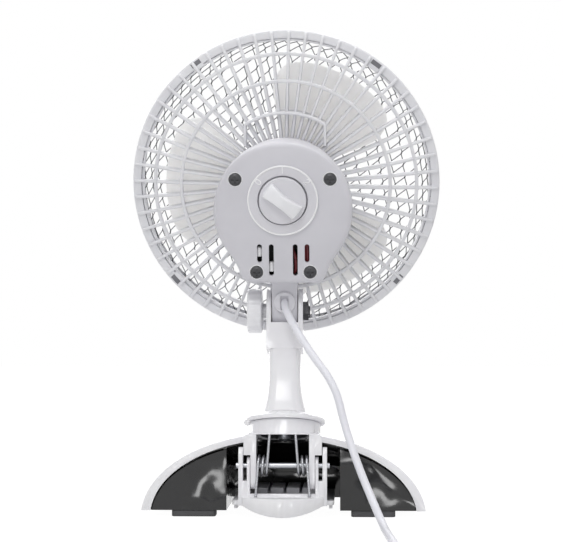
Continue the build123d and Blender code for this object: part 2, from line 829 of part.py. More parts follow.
def splice_caps():
    """Two closed-end caps on the joints of the leads."""
    depth = cover_back - housing_wall - 3
    caps = []
    for x, z in ((14.5, -31.0), (7.4, -41.0)):
        cap = ring_z(0, cap_radius, -4.5, 4.5)
        caps.append(Pos(x, depth - 1, z) * fillet(cap.edges().sort_by(Axis.Z)[-1], 1.2))
    return caps[0] + caps[1]


def cord_grommet():
    """Strain relief that holds the cord where it leaves the tongue."""
    seat_z = -axis_height + grommet_raise
    back = pivot_back + grommet_reach
    flange_front = pivot_back + tongue_radius
    body = ring_y(0, grommet_radius - 1, back - grommet_depth, back)
    body += turned([(0, flange_front), (grommet_radius, flange_front), (grommet_radius, back - 0.5),
                    (grommet_radius - 0.5, back), (0, back)])
    slot = block((-cord_radius - side_gap, cord_radius + side_gap), (back - grommet_depth, back),
                 (-cord_slot_height / 2, cord_slot_height / 2))
    return Pos(0, 0, seat_z) * (body - slot)


# ---- Stem and tilt clamp -------------------------------------------------------------------------
def stem_sections():
    """Rounded sections of the stem from the flange up to the fork."""
    faces = []
    for height, width in stem_widths:
        deep = width * stem_depth_ratio
        faces.append(Plane.XY.offset(height) * RectangleRounded(width, deep, stem_corner * deep))
    return faces


def fork_profile():
    """Side view of the stem's head as (y, z): round ears that narrow into the stem."""
    top_height, top_width = stem_widths[-1]
    half_depth = top_width * stem_depth_ratio / 2
    root_depth = ear_radius / 2
    ear = Pos(0, stem_length) * Circle(ear_radius)
    root = Pos(0, top_height - 1.5 * root_depth) * Rectangle(2 * half_depth, root_depth)
    return make_hull(ear.edges() + root.edges())


def stem():
    """Swivelling stem with its flange, spigot and fork."""
    body = loft(stem_sections())
    body += slab_x(fork_profile(), -fork_outer, fork_outer)
    narrow = min(width for height, width in stem_widths) / 2 - stem_wall
    hollow = RectangleRounded(2 * narrow, 2 * narrow * stem_depth_ratio - stem_wall, 3)
    body -= slab_z(hollow, swivel_screw_length - spigot_length + 2, stem_length - tongue_seat - stem_wall)
    body += turned_z([(0, 0), (flange_radius, 0), (flange_radius, flange_edge),
                      (stem_widths[0][1] / 2, flange_height), (0, flange_height)])
    body += ring_z(0, spigot_radius, -spigot_length, 0)
    reach = 3 * ear_radius
    gap = Pos(0, stem_length) * Circle(tongue_seat)
    gap += Pos(0, stem_length + reach / 2 - fork_floor) * Rectangle(reach, reach)
    body -= slab_x(gap, -fork_inner, fork_inner)
    body -= Pos(0, 0, stem_length) * ring_x(0, bolt_radius + running_gap, -2 * fork_outer, 2 * fork_outer)
    screw_end = swivel_screw_length - spigot_length
    return body - ring_z(0, swivel_screw_radius + running_gap, -spigot_length, screw_end)


def swivel_washer():
    """Washer that keeps the spigot in the collar."""
    return ring_z(swivel_screw_radius + running_gap, swivel_washer_radius,
                  -spigot_length - swivel_washer_thickness, -spigot_length)


def swivel_screw():
    """Screw that holds the washer to the spigot."""
    face = -spigot_length - swivel_washer_thickness
    body = ring_z(0, swivel_screw_radius, face, face + swivel_screw_length)
    head = ring_z(0, swivel_screw_head, face - swivel_screw_head_height, face)
    cross = block((-2.4, 2.4), (-0.5, 0.5), (face - swivel_screw_head_height, face - 1))
    cross += block((-0.5, 0.5), (-2.4, 2.4), (face - swivel_screw_head_height, face - 1))
    return body + head - cross


def tilt_washers():
    """Friction washers on both sides of the tongue."""
    inner = tongue_width / 2
    disc = ring_x(bolt_radius + running_gap, tilt_washer_radius, inner, inner + tilt_washer)
    return both_sides(Pos(running_gap / 2) * disc)


def tilt_bolt():
    """Bolt that the clamp knob turns."""
    knob_in = fork_outer + running_gap + clamp_shank_length
    return ring_x(0, bolt_radius, -fork_outer - nut_thickness - 1, knob_in + 0.7 * clamp_knob_thickness)


def tilt_knob():
    """Clamp knob of the tilt joint."""
    start = fork_outer + running_gap
    face = start + clamp_shank_length
    end = face + clamp_knob_thickness
    knob = turned_x([(start, 0), (start, clamp_shank_radius), (face, clamp_shank_radius),
                     (face, clamp_knob_radius - 1), (face + 1, clamp_knob_radius),
                     (end - 1.4, clamp_knob_radius), (end, clamp_knob_radius - 1.4), (end, 0)])
    bore_end = face + 0.7 * clamp_knob_thickness + running_gap
    return knob - ring_x(0, bolt_radius + running_gap, start, bore_end)


def tilt_nut():
    """Hexagon nut against the far ear."""
    hexagon = RegularPolygon(nut_across_flats / 2, 6, major_radius=False, rotation=30)
    nut = slab_x(hexagon, -fork_outer - nut_thickness, -fork_outer)
    return nut - ring_x(0, bolt_radius + running_gap, -fork_outer - nut_thickness, -fork_outer)


# ---- Base ----------------------------------------------------------------------------------------
def dome(inset):
    """Filled quarter dome of the base, smaller by an inset all round."""
    size = (dome_half_width - inset, dome_depth - inset, dome_height - inset)
    ball = scale(Sphere(1), by=size)
    reach = 2 * dome_depth
    front_half = block((-reach, reach), (-reach, 0), (0, reach))
    return Pos(0, rim_y, 0) * (ball & front_half)


def above(height):
    """Everything that counts above a height."""
    reach = 2 * dome_depth
    return block((-reach, reach), (-reach, reach), (height, reach))


def portal_outline():
    """Hinge frame at the back of the dome as (x, z)."""
    height = portal_top - portal_bottom
    frame = Pos(0, portal_top - height / 2) * Rectangle(2 * portal_half_width, height)
    frame = fillet(frame.vertices().filter_by(lambda v: v.Y > portal_top - 1), portal_corner)
    opening = portal_top - portal_bar - portal_bottom
    return frame - Pos(0, portal_bottom + opening / 2) * Rectangle(2 * portal_inner, opening)


def hinge_leg():
    """Leg at +X that carries the clip's pin."""
    low = leg_bottom + leg_width / 2
    side = Pos(pin_y, (low + portal_top - 3) / 2) * Rectangle(leg_width, portal_top - 3 - low)
    side += Pos(pin_y, low) * Circle(leg_width / 2)
    leg = slab_x(side, portal_inner, portal_inner + leg_thickness)
    hole = ring_x(0, pin_radius + running_gap, 0, 2 * portal_half_width)
    return leg - Pos(0, pin_y, pin_z) * hole


def base_screw_points():
    """The four base screws as (x, y)."""
    return [(side * x, y) for side in (-1, 1) for x, y in base_screw_places]


def base_shell():
    """White dome with its collar, rear lip, screw bosses and hinge frame."""
    body = dome(0) & above(foot_height)
    body += stem_place * ring_z(0, collar_radius, -12, -moving_gap)
    body -= dome(dome_wall)
    lip = (dome(0) & above(foot_height)) & block((-dome_half_width, dome_half_width),
                                                 (rim_y - dome_lip_depth, rim_y), (0, dome_height))
    opening = Ellipse(dome_half_width - dome_lip_side, dome_height - dome_lip_top)
    body += lip - slab_y(opening, rim_y - 2 * dome_lip_depth, rim_y)
    floor = foot_height + liner_wall
    for x, y in base_screw_points():
        boss = Pos(x, y, 0) * ring_z(0, base_boss_radius, floor, dome_height)
        body += boss & dome(dome_wall / 2)
        body -= Pos(x, y, 0) * ring_z(0, base_screw_radius + running_gap, floor, floor + 10)
    body += slab_y(portal_outline(), rim_y - portal_before, spring_rest_y)
    body += both_sides(hinge_leg())
    recess = ring_z(0, recess_radius, -30, -moving_gap - collar_floor)
    bore = ring_z(0, spigot_radius + running_gap, -12, 0)
    return body - stem_place * (recess + bore)


def base_liner():
    """Dark tray inside the dome, open where the clip's jaw works."""
    inset = dome_wall + side_gap
    back = rim_y - liner_recess
    reach = 2 * dome_depth
    outer = dome(inset) & block((-reach, reach), (-reach, back), (foot_height, reach))
    outer += (dome(dome_lip_side + side_gap) & above(foot_height)) & block(
        (-reach, reach), (back - dome_lip_depth, back), (0, reach))
    outer -= ((dome(0) - dome(dome_lip_side + side_gap)) & block(
        (-reach, reach), (back - dome_lip_depth, rim_y), (0, reach)))
    inner = dome(inset + liner_wall)
    wing = inner & block((bay_half_width + liner_wall, reach),
                         (-reach, back - liner_wall), (foot_height + liner_wall, reach))
    bay_front = rim_y - bay_length
    bay = inner & block((-bay_half_width, bay_half_width), (bay_front + bay_stop, rim_y), (0, reach))
    bay += block((-bay_half_width, bay_half_width), (bay_front + bay_stop, rim_y), (0, dome_height / 2))
    nose = block((-bay_half_width, bay_half_width), (bay_front, rim_y),
                 (0, jaw_bottom + jaw_thickness + running_gap))
    tray = outer - both_sides(wing) - bay - nose
    tray -= block((-portal_half_width - side_gap, portal_half_width + side_gap),
                  (rim_y - portal_before - side_gap, rim_y), (portal_bottom - side_gap, reach))
    tray -= stem_place * ring_z(0, recess_radius + 1, -30, 0)
    for x, y in base_screw_points():
        tray -= Pos(x, y, 0) * ring_z(0, base_boss_radius + side_gap, foot_height + liner_wall, dome_height)
        tray -= Pos(x, y, 0) * ring_z(0, base_screw_radius + running_gap, 0, foot_height + liner_wall)
    return tray


def base_screws():
    """Screws that hold the tray to the dome, from below."""
    screws = []
    for x, y in base_screw_points():
        shank = ring_z(0, base_screw_radius, foot_height, foot_height + 10)
        head = ring_z(0, base_screw_head, foot_height - 1.6, foot_height)
        cross = block((-1.7, 1.7), (-0.4, 0.4), (0, foot_height - 0.8))
        screws.append(Pos(x, y, 0) * (shank + head - cross))
    return screws[0] + screws[1] + screws[2] + screws[3]


def rubber_feet():
    """Three rubber feet under the tray, which also face the lower jaw."""
    back = rim_y - liner_recess - 0.5
    rear = block((rear_foot_inner, rear_foot_inner + rear_foot_length),
                 (back - rear_foot_depth, back), (0, foot_height))
    rear = fillet(rear.edges().filter_by(Axis.Z), 2)
    front_back = rim_y - bay_length - 2
    front = block((-front_foot_half, front_foot_half), (front_back - front_foot_depth, front_back),
                  (0, foot_height))
    return both_sides(rear) + fillet(front.edges().filter_by(Axis.Z), 2)


def hinge_pin():
    """Steel pin of the clip."""
    half = arm_outer_x + pin_overhang
    return Pos(0, pin_y, pin_z) * ring_x(0, pin_radius, -half, half)


# ---- Clip lever ----------------------------------------------------------------------------------
def lip_band(inset):
    """Plan of the handle as (x, y): straight in front and bowed towards the rear."""
    half = portal_half_width + 0.7 - inset
    front = rim_y - 2
    side = rim_y + lip_side_reach - inset
    edge = Line((-half, front), (half, front)) + Line((half, front), (half, side))
    edge += ThreePointArc((half, side), (0, rim_y + lip_reach - inset), (-half, side))
    edge += Line((-half, side), (-half, front))
    return make_face(edge)


def clip_lever():
    """Lower jaw, its arms and the handle at the rear, in one moulding."""
    top = jaw_bottom + jaw_thickness
    front = rim_y - bay_length + jaw_front_gap
    jaw = Pos(0, (front + pin_y) / 2) * Rectangle(2 * jaw_half_width, pin_y - front)
    body = slab_z(jaw, jaw_bottom, top)
    body = fillet(body.edges().filter_by(Axis.Z), 4)
    for x in (-jaw_half_width + 2, -jaw_half_width / 3, jaw_half_width / 3, jaw_half_width - 2):
        body += block((x - jaw_rib_width / 2, x + jaw_rib_width / 2), (front + 6, pin_y - 6),
                      (jaw_bottom - jaw_rib_depth, jaw_bottom))
    inner = Pos(pin_y, pin_z) * Circle(inner_cheek_radius)
    inner += Pos(pin_y, (pin_z + jaw_bottom) / 2) * Rectangle(2 * inner_cheek_radius, pin_z - jaw_bottom)
    arms = slab_x(inner, cheek_inner_x, cheek_inner_x + inner_cheek)
    outer = Pos(pin_y, outer_cheek_top - arm_depth / 2) * Circle(arm_depth / 2)
    outer_height = outer_cheek_top - arm_depth / 2 - jaw_bottom
    outer += Pos(pin_y, jaw_bottom + outer_height / 2) * Rectangle(arm_depth, outer_height)
    arms += slab_x(outer, portal_half_width + moving_gap, arm_outer_x)
    arms += block((cheek_inner_x, arm_outer_x), (pin_y - arm_depth / 2, pin_y + arm_depth / 2),
                  (jaw_bottom, arm_top))
    arms -= Pos(0, pin_y, pin_z) * ring_x(0, pin_radius + running_gap, 0, 2 * arm_outer_x)
    body += both_sides(arms)
    plate = slab_z(lip_band(0), lip_top - lip_wall, lip_top)
    skirt = slab_z(lip_band(0), lip_bottom, lip_top) - slab_z(lip_band(lip_wall), 0, lip_top)
    skirt -= block((-dome_half_width, dome_half_width), (0, rim_y + lip_wall), (0, lip_top))
    half = portal_half_width
    underside = ThreePointArc((-half, lip_corner_z), (0, lip_bottom), (half, lip_corner_z))
    above_it = Polyline((half, lip_corner_z), (2 * half, lip_corner_z), (2 * half, 2 * lip_top),
                        (-2 * half, 2 * lip_top), (-2 * half, lip_corner_z), (-half, lip_corner_z))
    bow = make_face(underside + above_it)
    handle = (plate + skirt) & slab_y(bow, 0, 2 * rim_y)
    body += handle
    rib_y = spring_rest_y - spring_rib
    body += block((-cheek_inner_x, cheek_inner_x), (rib_y, spring_rest_y),
                  (jaw_bottom, lip_top + spring_rib))
    window = (lip_top - lip_wall - 1, lip_top + 1)
    body -= block((-portal_inner + 1, portal_inner - 1), (rim_y - 2, rib_y), window)
    return body


def jaw_pad():
    """Rubber blocks that grip from below."""
    low = jaw_bottom + jaw_thickness
    front = rim_y - bay_length + 12
    width = (2 * pad_half_width - (pad_blocks - 1) * pad_gap) / pad_blocks
    pad = block((-pad_half_width, pad_half_width), (front, front + pad_length), (low, low + 1.2))
    for number in range(pad_blocks):
        x = -pad_half_width + number * (width + pad_gap)
        pad += block((x, x + width), (front, front + pad_length), (low, low + pad_height))
    return pad


# ---- Wound pieces --------------------------------------------------------------------------------
def biarc(start, start_way, end, end_way):
    """Two arcs that join two points and leave both in the given directions."""
    chord = end - start
    ways = start_way + end_way
    across = chord.dot(ways)
    spread = 2 * (1 - start_way.dot(end_way))
    if abs(spread) < 1e-9:
        reach = chord.dot(chord) / (2 * across)
    else:
        reach = (-across + sqrt(across**2 + spread * chord.dot(chord))) / spread
    first = start + start_way * reach
    last = end - end_way * reach
    joint = (first + last) * 0.5
    joint_way = (last - first).normalized()
    return [Edge.make_tangent_arc(start, start_way, joint), Edge.make_tangent_arc(joint, joint_way, end)]


def wound_tube(points, ways, radius, lead_in, lead_out):
    """Unbroken tube through points with given directions, with straight ends."""
    begin = points[0] - ways[0] * lead_in
    edges = [Edge.make_line(begin, points[0])]
    for number in range(len(points) - 1):
        edges += biarc(points[number], ways[number], points[number + 1], ways[number + 1])
    edges.append(Edge.make_line(points[-1], points[-1] + ways[-1] * lead_out))
    section = Plane(origin=begin, z_dir=ways[0]) * Circle(radius)
    return sweep(section, path=Wire(edges))


def least_gap(points, radius, skip):
    """Least clear distance between parts of a tube that are not neighbours."""
    least = None
    for number, point in enumerate(points):
        for other in points[number + skip:]:
            gap = (point - other).length - 2 * radius
            least = gap if least is None else min(least, gap)
    return least


def torsion_spring(side):
    """Torsion spring of the clip: a leg down to the lever, turns round the pin, a leg up to the frame."""
    def on_turn(turn):
        angle = 2 * pi * turn
        x = side * (spring_inner_x + spring_pitch * turn)
        return Vector(x, pin_y + spring_radius * cos(angle), pin_z - spring_radius * sin(angle))

    def way(turn):
        angle = 2 * pi * turn
        rate = 2 * pi * spring_radius
        return Vector(side * spring_pitch, -rate * sin(angle), -rate * cos(angle)).normalized()

    steps = 4 * spring_turns
    turns = [number / 4 for number in range(steps + 1)]
    points = [on_turn(turn) for turn in turns]
    ways = [way(turn) for turn in turns]
    top_leg = portal_top - running_gap - pin_z
    low_leg = pin_z - lip_top - side_gap
    fine = [on_turn(number / 48) for number in range(48 * spring_turns + 1)]
    print("spring: least gap between turns", round(least_gap(fine, spring_wire, 24), 2))
    return wound_tube(points, ways, spring_wire, top_leg, low_leg)


def coil_place(turn):
    """Centre line of the put-away coil after a number of turns."""
    total = 2 * layer_turns + 0.5
    if turn <= layer_turns:
        radius = coil_outer_radius - turn_step * turn
        height = cord_radius
    elif turn <= layer_turns + 0.5:
        share = (turn - layer_turns) / 0.5
        radius = coil_inner_radius - turn_step * sin(pi * share) / 4
        height = cord_radius + turn_step * (1 - cos(pi * share)) / 2
    else:
        radius = coil_outer_radius - turn_step * (total - turn)
        height = upper_layer_z
    angle = pi - 2 * pi * turn
    return Vector(coil_centre_x + radius * cos(angle), coil_centre_y + radius * sin(angle), height)


def cord_coil():
    """The cord's put-away length: two layers of neat turns, with a tail to the plug."""
    total = 2 * layer_turns + 0.5
    count = round(total * 8)
    turns = [total * number / count for number in range(count + 1)]
    points = [coil_place(turn) for turn in turns]
    small = 1e-4
    ways = []
    for turn in turns:
        before, after = coil_place(max(turn - small, 0)), coil_place(min(turn + small, total))
        ways.append((after - before).normalized())
    ways[0] = Vector(0, 1, 0)
    ways[-1] = Vector(1, 0, 0)
    fine = [coil_place(total * number / 600) for number in range(601)]
    print("coil: least gap between turns", round(least_gap(fine, cord_radius, 60), 2))
    length = sum((b - a).length for a, b in zip(fine, fine[1:]))
    print("coil: length", round(length + 2 * cord_radius + tail_length))
    return wound_tube(points, ways, cord_radius, 2 * cord_radius, tail_length)


def cord_points():
    """The free cord's route from the grommet to the coil."""
    height = -axis_height + grommet_raise
    start = pivot_back + grommet_reach - cord_start
    inside = [(fan_place * Pos(0, y, height)).position for y in (start, start + cord_first_run)]
    end = Vector(coil_entry_x, coil_centre_y - 2 * cord_radius, cord_radius)
    return inside + [Vector(*point) for point in cord_route] + [end]


def corner_radii(points):
    """The largest arc that each corner's runs allow."""
    radii = []
    for before, corner, after in zip(points, points[1:], points[2:]):
        turn = radians((corner - before).get_angle(after - corner))
        shorter = min((corner - before).length, (after - corner).length)
        radii.append(0.45 * shorter / (sin(turn / 2) / cos(turn / 2)))
    return radii


def cord():
    """The free cord, from the grommet down to the table and along it to the coil."""
    points = cord_points()
    radii = corner_radii(points)
    print("cord: radii", [round(radius) for radius in radii])
    runs = [(b - a).length for a, b in zip(points, points[1:])]
    print("cord: runs", [round(run) for run in runs])
    solid = tube(points, radii, cord_radius)
    print("cord: length", round(solid.volume / (pi * cord_radius**2)))
    return solid


def plug():
    """Flat two-pin plug with its strain relief, lying beside the coil."""
    start = coil_centre_x + tail_length
    y = coil_centre_y + coil_outer_radius
    z = upper_layer_z
    relief = Pos(start, y, z) * turned_x([(0, 0), (0, 1.3 * cord_radius),
                                          (plug_relief, 2.2 * cord_radius), (plug_relief, 0)])
    body_start = start + plug_relief
    outline = make_face(Polyline(
        (body_start, -plug_point / 2), (body_start + plug_length / 2, -plug_width / 2),
        (body_start + plug_length, -plug_width / 2), (body_start + plug_length, plug_width / 2),
        (body_start + plug_length / 2, plug_width / 2), (body_start, plug_point / 2), close=True))
    outline = fillet(outline.vertices(), 2.5)
    body = Pos(0, y, 0) * slab_z(outline, 0, 2 * z)
    body = chamfer(body.edges().group_by(Axis.Z)[-1] + body.edges().group_by(Axis.Z)[0], 1.2)
    for side in (-1, 1):
        face = body_start + plug_length
        hole = ring_x(0, plug_pin_radius + running_gap, face - plug_pin_seat, face)
        body -= Pos(0, y + side * plug_pin_spacing / 2, z) * hole
    return body + relief


def plug_pins():
    """Two round pins of the plug."""
    start = coil_centre_x + tail_length + plug_relief + plug_length - plug_pin_seat
    end = start + plug_pin_seat + plug_pin_length
    y = coil_centre_y + coil_outer_radius
    pin = turned_x([(start, 0), (start, plug_pin_radius), (end - 1, plug_pin_radius),
                    (end, plug_pin_radius - 1), (end, 0)])
    low, high = (Pos(0, y + side * plug_pin_spacing / 2, upper_layer_z) * pin for side in (-1, 1))
    return low + high


# ---- Every piece, in the place where it works ----------------------------------------------------
def main():
    """Build every piece and write it to its own file."""
    core_back = core_front + core_depth
    on_fan_axis = {
        "front_rim": front_rim,
        "front_mesh": front_mesh,
        "front_badge": front_badge,
        "rear_guard": rear_guard,
        "fan_blade": fan_blade,
        "blade_nut": blade_nut,
        "motor_shaft": motor_shaft,
        "motor_rotor": motor_rotor,
        "motor_core": motor_core,
        "motor_coil": motor_coil,
        "motor_bracket_front": lambda: motor_bracket(core_front, -1),
        "motor_bracket_rear": lambda: motor_bracket(core_back, 1),
        "bush_front": lambda: bush(core_front, -1),
        "bush_rear": lambda: bush(core_back, 1),
        "motor_screws": motor_screws,
        "motor_housing": motor_housing,
        "rear_cover": rear_cover,
        "cover_screws": cover_screws,
        "dial_ring": dial_ring,
        "speed_knob": speed_knob,
        "switch_body": switch_body,
        "switch_shaft": switch_shaft,
        "lead_wires": lead_wires,
        "splice_caps": splice_caps,
        "cord_grommet": cord_grommet,
    }
    on_stem = {"stem": stem, "swivel_washer": swivel_washer, "swivel_screw": swivel_screw}
    on_pivot = {
        "tilt_washers": tilt_washers,
        "tilt_bolt": tilt_bolt,
        "tilt_knob": tilt_knob,
        "tilt_nut": tilt_nut,
    }
    on_table = {
        "base_shell": base_shell,
        "base_liner": base_liner,
        "base_screws": base_screws,
        "rubber_feet": rubber_feet,
        "hinge_pin": hinge_pin,
        "clip_lever": clip_lever,
        "jaw_pad": jaw_pad,
        "spring_left": lambda: torsion_spring(1),
        "spring_right": lambda: torsion_spring(-1),
        "cord": cord,
        "cord_coil": cord_coil,
        "plug": plug,
        "plug_pins": plug_pins,
    }
    groups = ((fan_place, on_fan_axis), (stem_place, on_stem), (pivot_place, on_pivot),
              (Pos(0, 0, 0), on_table))
    os.makedirs("parts", exist_ok=True)
    for place, pieces in groups:
        for name, build in pieces.items():
            export_step(place * build(), f"parts/{name}.step")


main()
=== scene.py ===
"""Small white table and clip fan, seen from behind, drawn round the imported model.

Every size is in millimetres in the part's own frames and becomes metres when a mesh is made.
The fan frame has its origin on the fan axis in the plane of the rear ribs, y towards the
motor and z up. The tilt frame lies on the tilt axis, and the table frame is the model's own.
"""

import logging
from collections.abc import Sequence
from dataclasses import dataclass
from enum import Enum, IntEnum

import bmesh
import bpy
import numpy as np
from mathutils import Matrix, Vector


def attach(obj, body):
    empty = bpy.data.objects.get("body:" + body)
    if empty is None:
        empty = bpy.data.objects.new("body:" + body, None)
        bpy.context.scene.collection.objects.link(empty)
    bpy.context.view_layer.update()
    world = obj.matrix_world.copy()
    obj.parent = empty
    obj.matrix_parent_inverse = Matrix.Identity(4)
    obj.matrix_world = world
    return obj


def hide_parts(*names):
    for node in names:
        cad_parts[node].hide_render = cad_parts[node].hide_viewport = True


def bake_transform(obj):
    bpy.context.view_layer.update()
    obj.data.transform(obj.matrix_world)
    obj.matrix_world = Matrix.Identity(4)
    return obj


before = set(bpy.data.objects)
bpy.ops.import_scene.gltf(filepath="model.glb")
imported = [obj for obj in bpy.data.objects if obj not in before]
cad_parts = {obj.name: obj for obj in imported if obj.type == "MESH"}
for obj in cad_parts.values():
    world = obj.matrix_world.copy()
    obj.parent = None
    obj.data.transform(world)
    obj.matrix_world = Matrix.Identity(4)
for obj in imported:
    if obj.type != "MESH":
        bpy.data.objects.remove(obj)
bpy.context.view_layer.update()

LOG = logging.getLogger("clip_fan")
MILLIMETRE = 0.001
PER_METRE = 1000.0
PHOTO_WIDTH = 563
DOUBLES = 2e-6
FULL_TURN = 2 * np.pi

Array = np.ndarray
Shape = tuple[Array, list]
Socket = bpy.types.NodeSocket


class Body(str, Enum):
    """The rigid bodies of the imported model."""

    BASE = "base"
    STEM = "stem"
    CLAMP_KNOB = "clamp_knob"
    HEAD = "head"
    FAN = "fan"
    KNOB = "knob"
    LEVER = "lever"


class Slot(str, Enum):
    """The record's material slots, passed along with each piece."""

    CAGE = "cage_plastic"
    MESH = "mesh_steel"
    BADGE = "badge_plastic"
    BLADE = "blade_plastic"
    HOUSING = "housing_plastic"
    SWITCH = "switch_plastic"
    WIRE = "wire_plastic"
    GROMMET = "grommet_plastic"
    DIAL = "dial_plastic"
    KNOB = "knob_plastic"
    STEM = "stem_plastic"
    BASE = "base_plastic"
    LINER = "liner_plastic"
    FOOT = "foot_rubber"
    PAD = "pad_rubber"
    SPRING = "spring_steel"
    CORD = "cord_plastic"


class Axis(IntEnum):
    """The axes of a frame, by the number of their coordinate."""

    X = 0
    Y = 1
    Z = 2


# ---- Places -------------------------------------------------------------------------------


@dataclass(frozen=True)
class Place:
    """A frame of the model: an origin in millimetres and a turn about X in degrees."""

    origin: tuple[float, float, float] = (0.0, 0.0, 0.0)
    turn: float = 0.0

    def world(self, points: Array) -> Array:
        """Carry points of this frame into the model's frame.

        Args:
            points: Points as rows, in millimetres.

        Returns:
            The points in the model's frame, in millimetres.
        """
        cosine, sine = np.cos(np.radians(self.turn)), np.sin(np.radians(self.turn))
        x, y, z = points.T
        return np.stack([x, cosine * y - sine * z, sine * y + cosine * z], axis=1) + self.origin


TABLE = Place()
TILT_FRAME = Place((0.0, 1.436, 121.750), 12.5)
FAN_FRAME = Place((0.0, -1.971, 198.840), -15.2)


# ---- Surfaces -----------------------------------------------------------------------------


def grid_faces(rows: int, columns: int, wrap_rows: bool = False, wrap_columns: bool = False) -> list:
    """Quads between neighbouring rows and columns of a grid of points.

    Args:
        rows: Number of rows.
        columns: Number of columns.
        wrap_rows: Whether the last row joins the first.
        wrap_columns: Whether the last column joins the first.

    Returns:
        Faces as lists of point numbers.
    """
    row = np.arange(rows if wrap_rows else rows - 1)[:, None]
    column = np.arange(columns if wrap_columns else columns - 1)[None, :]
    next_row, next_column = (row + 1) % rows, (column + 1) % columns
    corners = [
        row * columns + column,
        row * columns + next_column,
        next_row * columns + next_column,
        next_row * columns + column,
    ]
    return np.stack(corners, axis=-1).reshape(-1, 4).tolist()


def grid_border(rows: int, columns: int) -> Array:
    """Numbers of the points round the edge of a grid, in order.

    Args:
        rows: Number of rows.
        columns: Number of columns.

    Returns:
        The point numbers.
    """
    index = np.arange(rows * columns).reshape(rows, columns)
    return np.concatenate([index[0], index[1:, -1], index[-1, -2::-1], index[-2:0:-1, 0]])


def joined(shapes: Sequence[Shape]) -> Shape:
    """Several shapes as one.

    Args:
        shapes: Pairs of points and faces.

    Returns:
        One pair of points and faces.
    """
    points, faces, count = [], [], 0
    for shape_points, shape_faces in shapes:
        points.append(shape_points)
        faces += [[corner + count for corner in face] for face in shape_faces]
        count += len(shape_points)
    return np.concatenate(points), faces


def rounded(corners: Sequence, radii: Sequence | float, steps: int = 5, closed: bool = True) -> Array:
    """A polygon whose corners are replaced by short curves.

    Each corner P with unit ways a and b to its neighbours becomes the quadratic curve
    P + t((1-s)^2 a + s^2 b), where t is the length that a circle of the radius would take.

    Args:
        corners: Corners as rows of two or three numbers.
        radii: One radius, or one for each corner.
        steps: Points on each corner's curve.
        closed: Whether the polygon is closed.

    Returns:
        The points of the rounded polygon.
    """
    corner = np.asarray(corners, float)
    back, forth = np.roll(corner, 1, axis=0) - corner, np.roll(corner, -1, axis=0) - corner
    back_length = np.linalg.norm(back, axis=1, keepdims=True)
    forth_length = np.linalg.norm(forth, axis=1, keepdims=True)
    back, forth = back / back_length, forth / forth_length
    half = np.arccos(np.clip((back * forth).sum(axis=1, keepdims=True), -1, 1)) / 2
    radius = np.broadcast_to(np.asarray(radii, float).reshape(-1, 1), (len(corner), 1))
    reach = radius / np.maximum(np.tan(half), 1e-6)
    reach = np.minimum(reach, 0.49 * np.minimum(back_length, forth_length))
    if not closed:
        reach[[0, -1]] = 0
    share = np.linspace(0, 1, steps)[None, :, None]
    bend = (1 - share) ** 2 * back[:, None] + share**2 * forth[:, None]
    curve = corner[:, None] + reach[:, None] * bend
    if not closed:
        return np.concatenate([corner[:1], curve[1:-1].reshape(-1, corner.shape[1]), corner[-1:]])
    return curve.reshape(-1, corner.shape[1])


def lathe(profile: Array, segments: int = 96, axis: Axis = Axis.Y, closed: bool = True) -> Shape:
    """A profile of (radius, height) carried round an axis.

    Args:
        profile: Radii and heights as rows.
        segments: Steps round the axis.
        axis: The axis.
        closed: Whether the profile is a closed loop; if not, its ends lie on the axis.

    Returns:
        Points and faces.
    """
    angle = np.linspace(0, FULL_TURN, segments, endpoint=False)
    radius, height = profile[:, :1], np.broadcast_to(profile[:, 1:], (len(profile), segments))
    parts = [radius * np.sin(angle), radius * np.cos(angle)]
    parts.insert(axis, height)
    points = np.stack(parts, axis=-1).reshape(-1, 3)
    return points, grid_faces(len(profile), segments, wrap_rows=closed, wrap_columns=True)


def stack(loops: Array) -> Shape:
    """A closed skin over a stack of loops that have the same number of points.

    Args:
        loops: Loops, points and coordinates as a three-way array.

    Returns:
        Points and faces.
    """
    levels, count = loops.shape[:2]
    faces = grid_faces(levels, count, wrap_columns=True)
    faces += [list(range(count)), list(range((levels - 1) * count, levels * count))]
    return loops.reshape(-1, 3), faces


def prism(flat: Array, ends: Sequence[float], axis: Axis = Axis.Y) -> Shape:
    """A flat outline carried straight along an axis, repeated at each end.

    Args:
        flat: The outline's other two coordinates as rows.
        ends: Places along the axis.
        axis: The axis.

    Returns:
        Points and faces.
    """
    return stack(np.stack([np.insert(flat, axis, end, axis=1) for end in ends]))


def carried(section: Array, path: Array, across: Array, upward: Array) -> Shape:
    """A section carried along a path, with its two axes given at each point.

    Args:
        section: Section points as rows of two numbers, or one set for each path point.
        path: Path points as rows.
        across: The section's first axis at each path point.
        upward: The section's second axis at each path point.

    Returns:
        Points and faces.
    """
    sections = np.broadcast_to(section, (len(path),) + section.shape[-2:])
    return stack(
        path[:, None] + sections[:, :, :1] * across[:, None] + sections[:, :, 1:] * upward[:, None]
    )


def directions(path: Array) -> Array:
    """Unit tangents of a path, from the differences of its neighbours.

    Args:
        path: Path points as rows.

    Returns:
        Tangents as rows.
    """
    step = np.gradient(path, axis=0)
    return step / np.linalg.norm(step, axis=1, keepdims=True)


def tube(path: Array, radius: float, sides: int = 12, hint: tuple = (1.0, 0.3, 0.6)) -> Shape:
    """A round tube along a path; its section's axes are squared against a fixed direction.

    Args:
        path: Path points as rows.
        radius: Its radius.
        sides: Points round the tube.
        hint: A direction that the path never runs along.

    Returns:
        Points and faces.
    """
    tangent = directions(path)
    guide = np.array(hint) / np.linalg.norm(hint)
    across = guide - (tangent @ guide)[:, None] * tangent
    across /= np.linalg.norm(across, axis=1, keepdims=True)
    angle = np.linspace(0, FULL_TURN, sides, endpoint=False)
    circle = np.stack([np.cos(angle), np.sin(angle)], axis=1)
    return carried(circle * radius, path, across, np.cross(tangent, across))


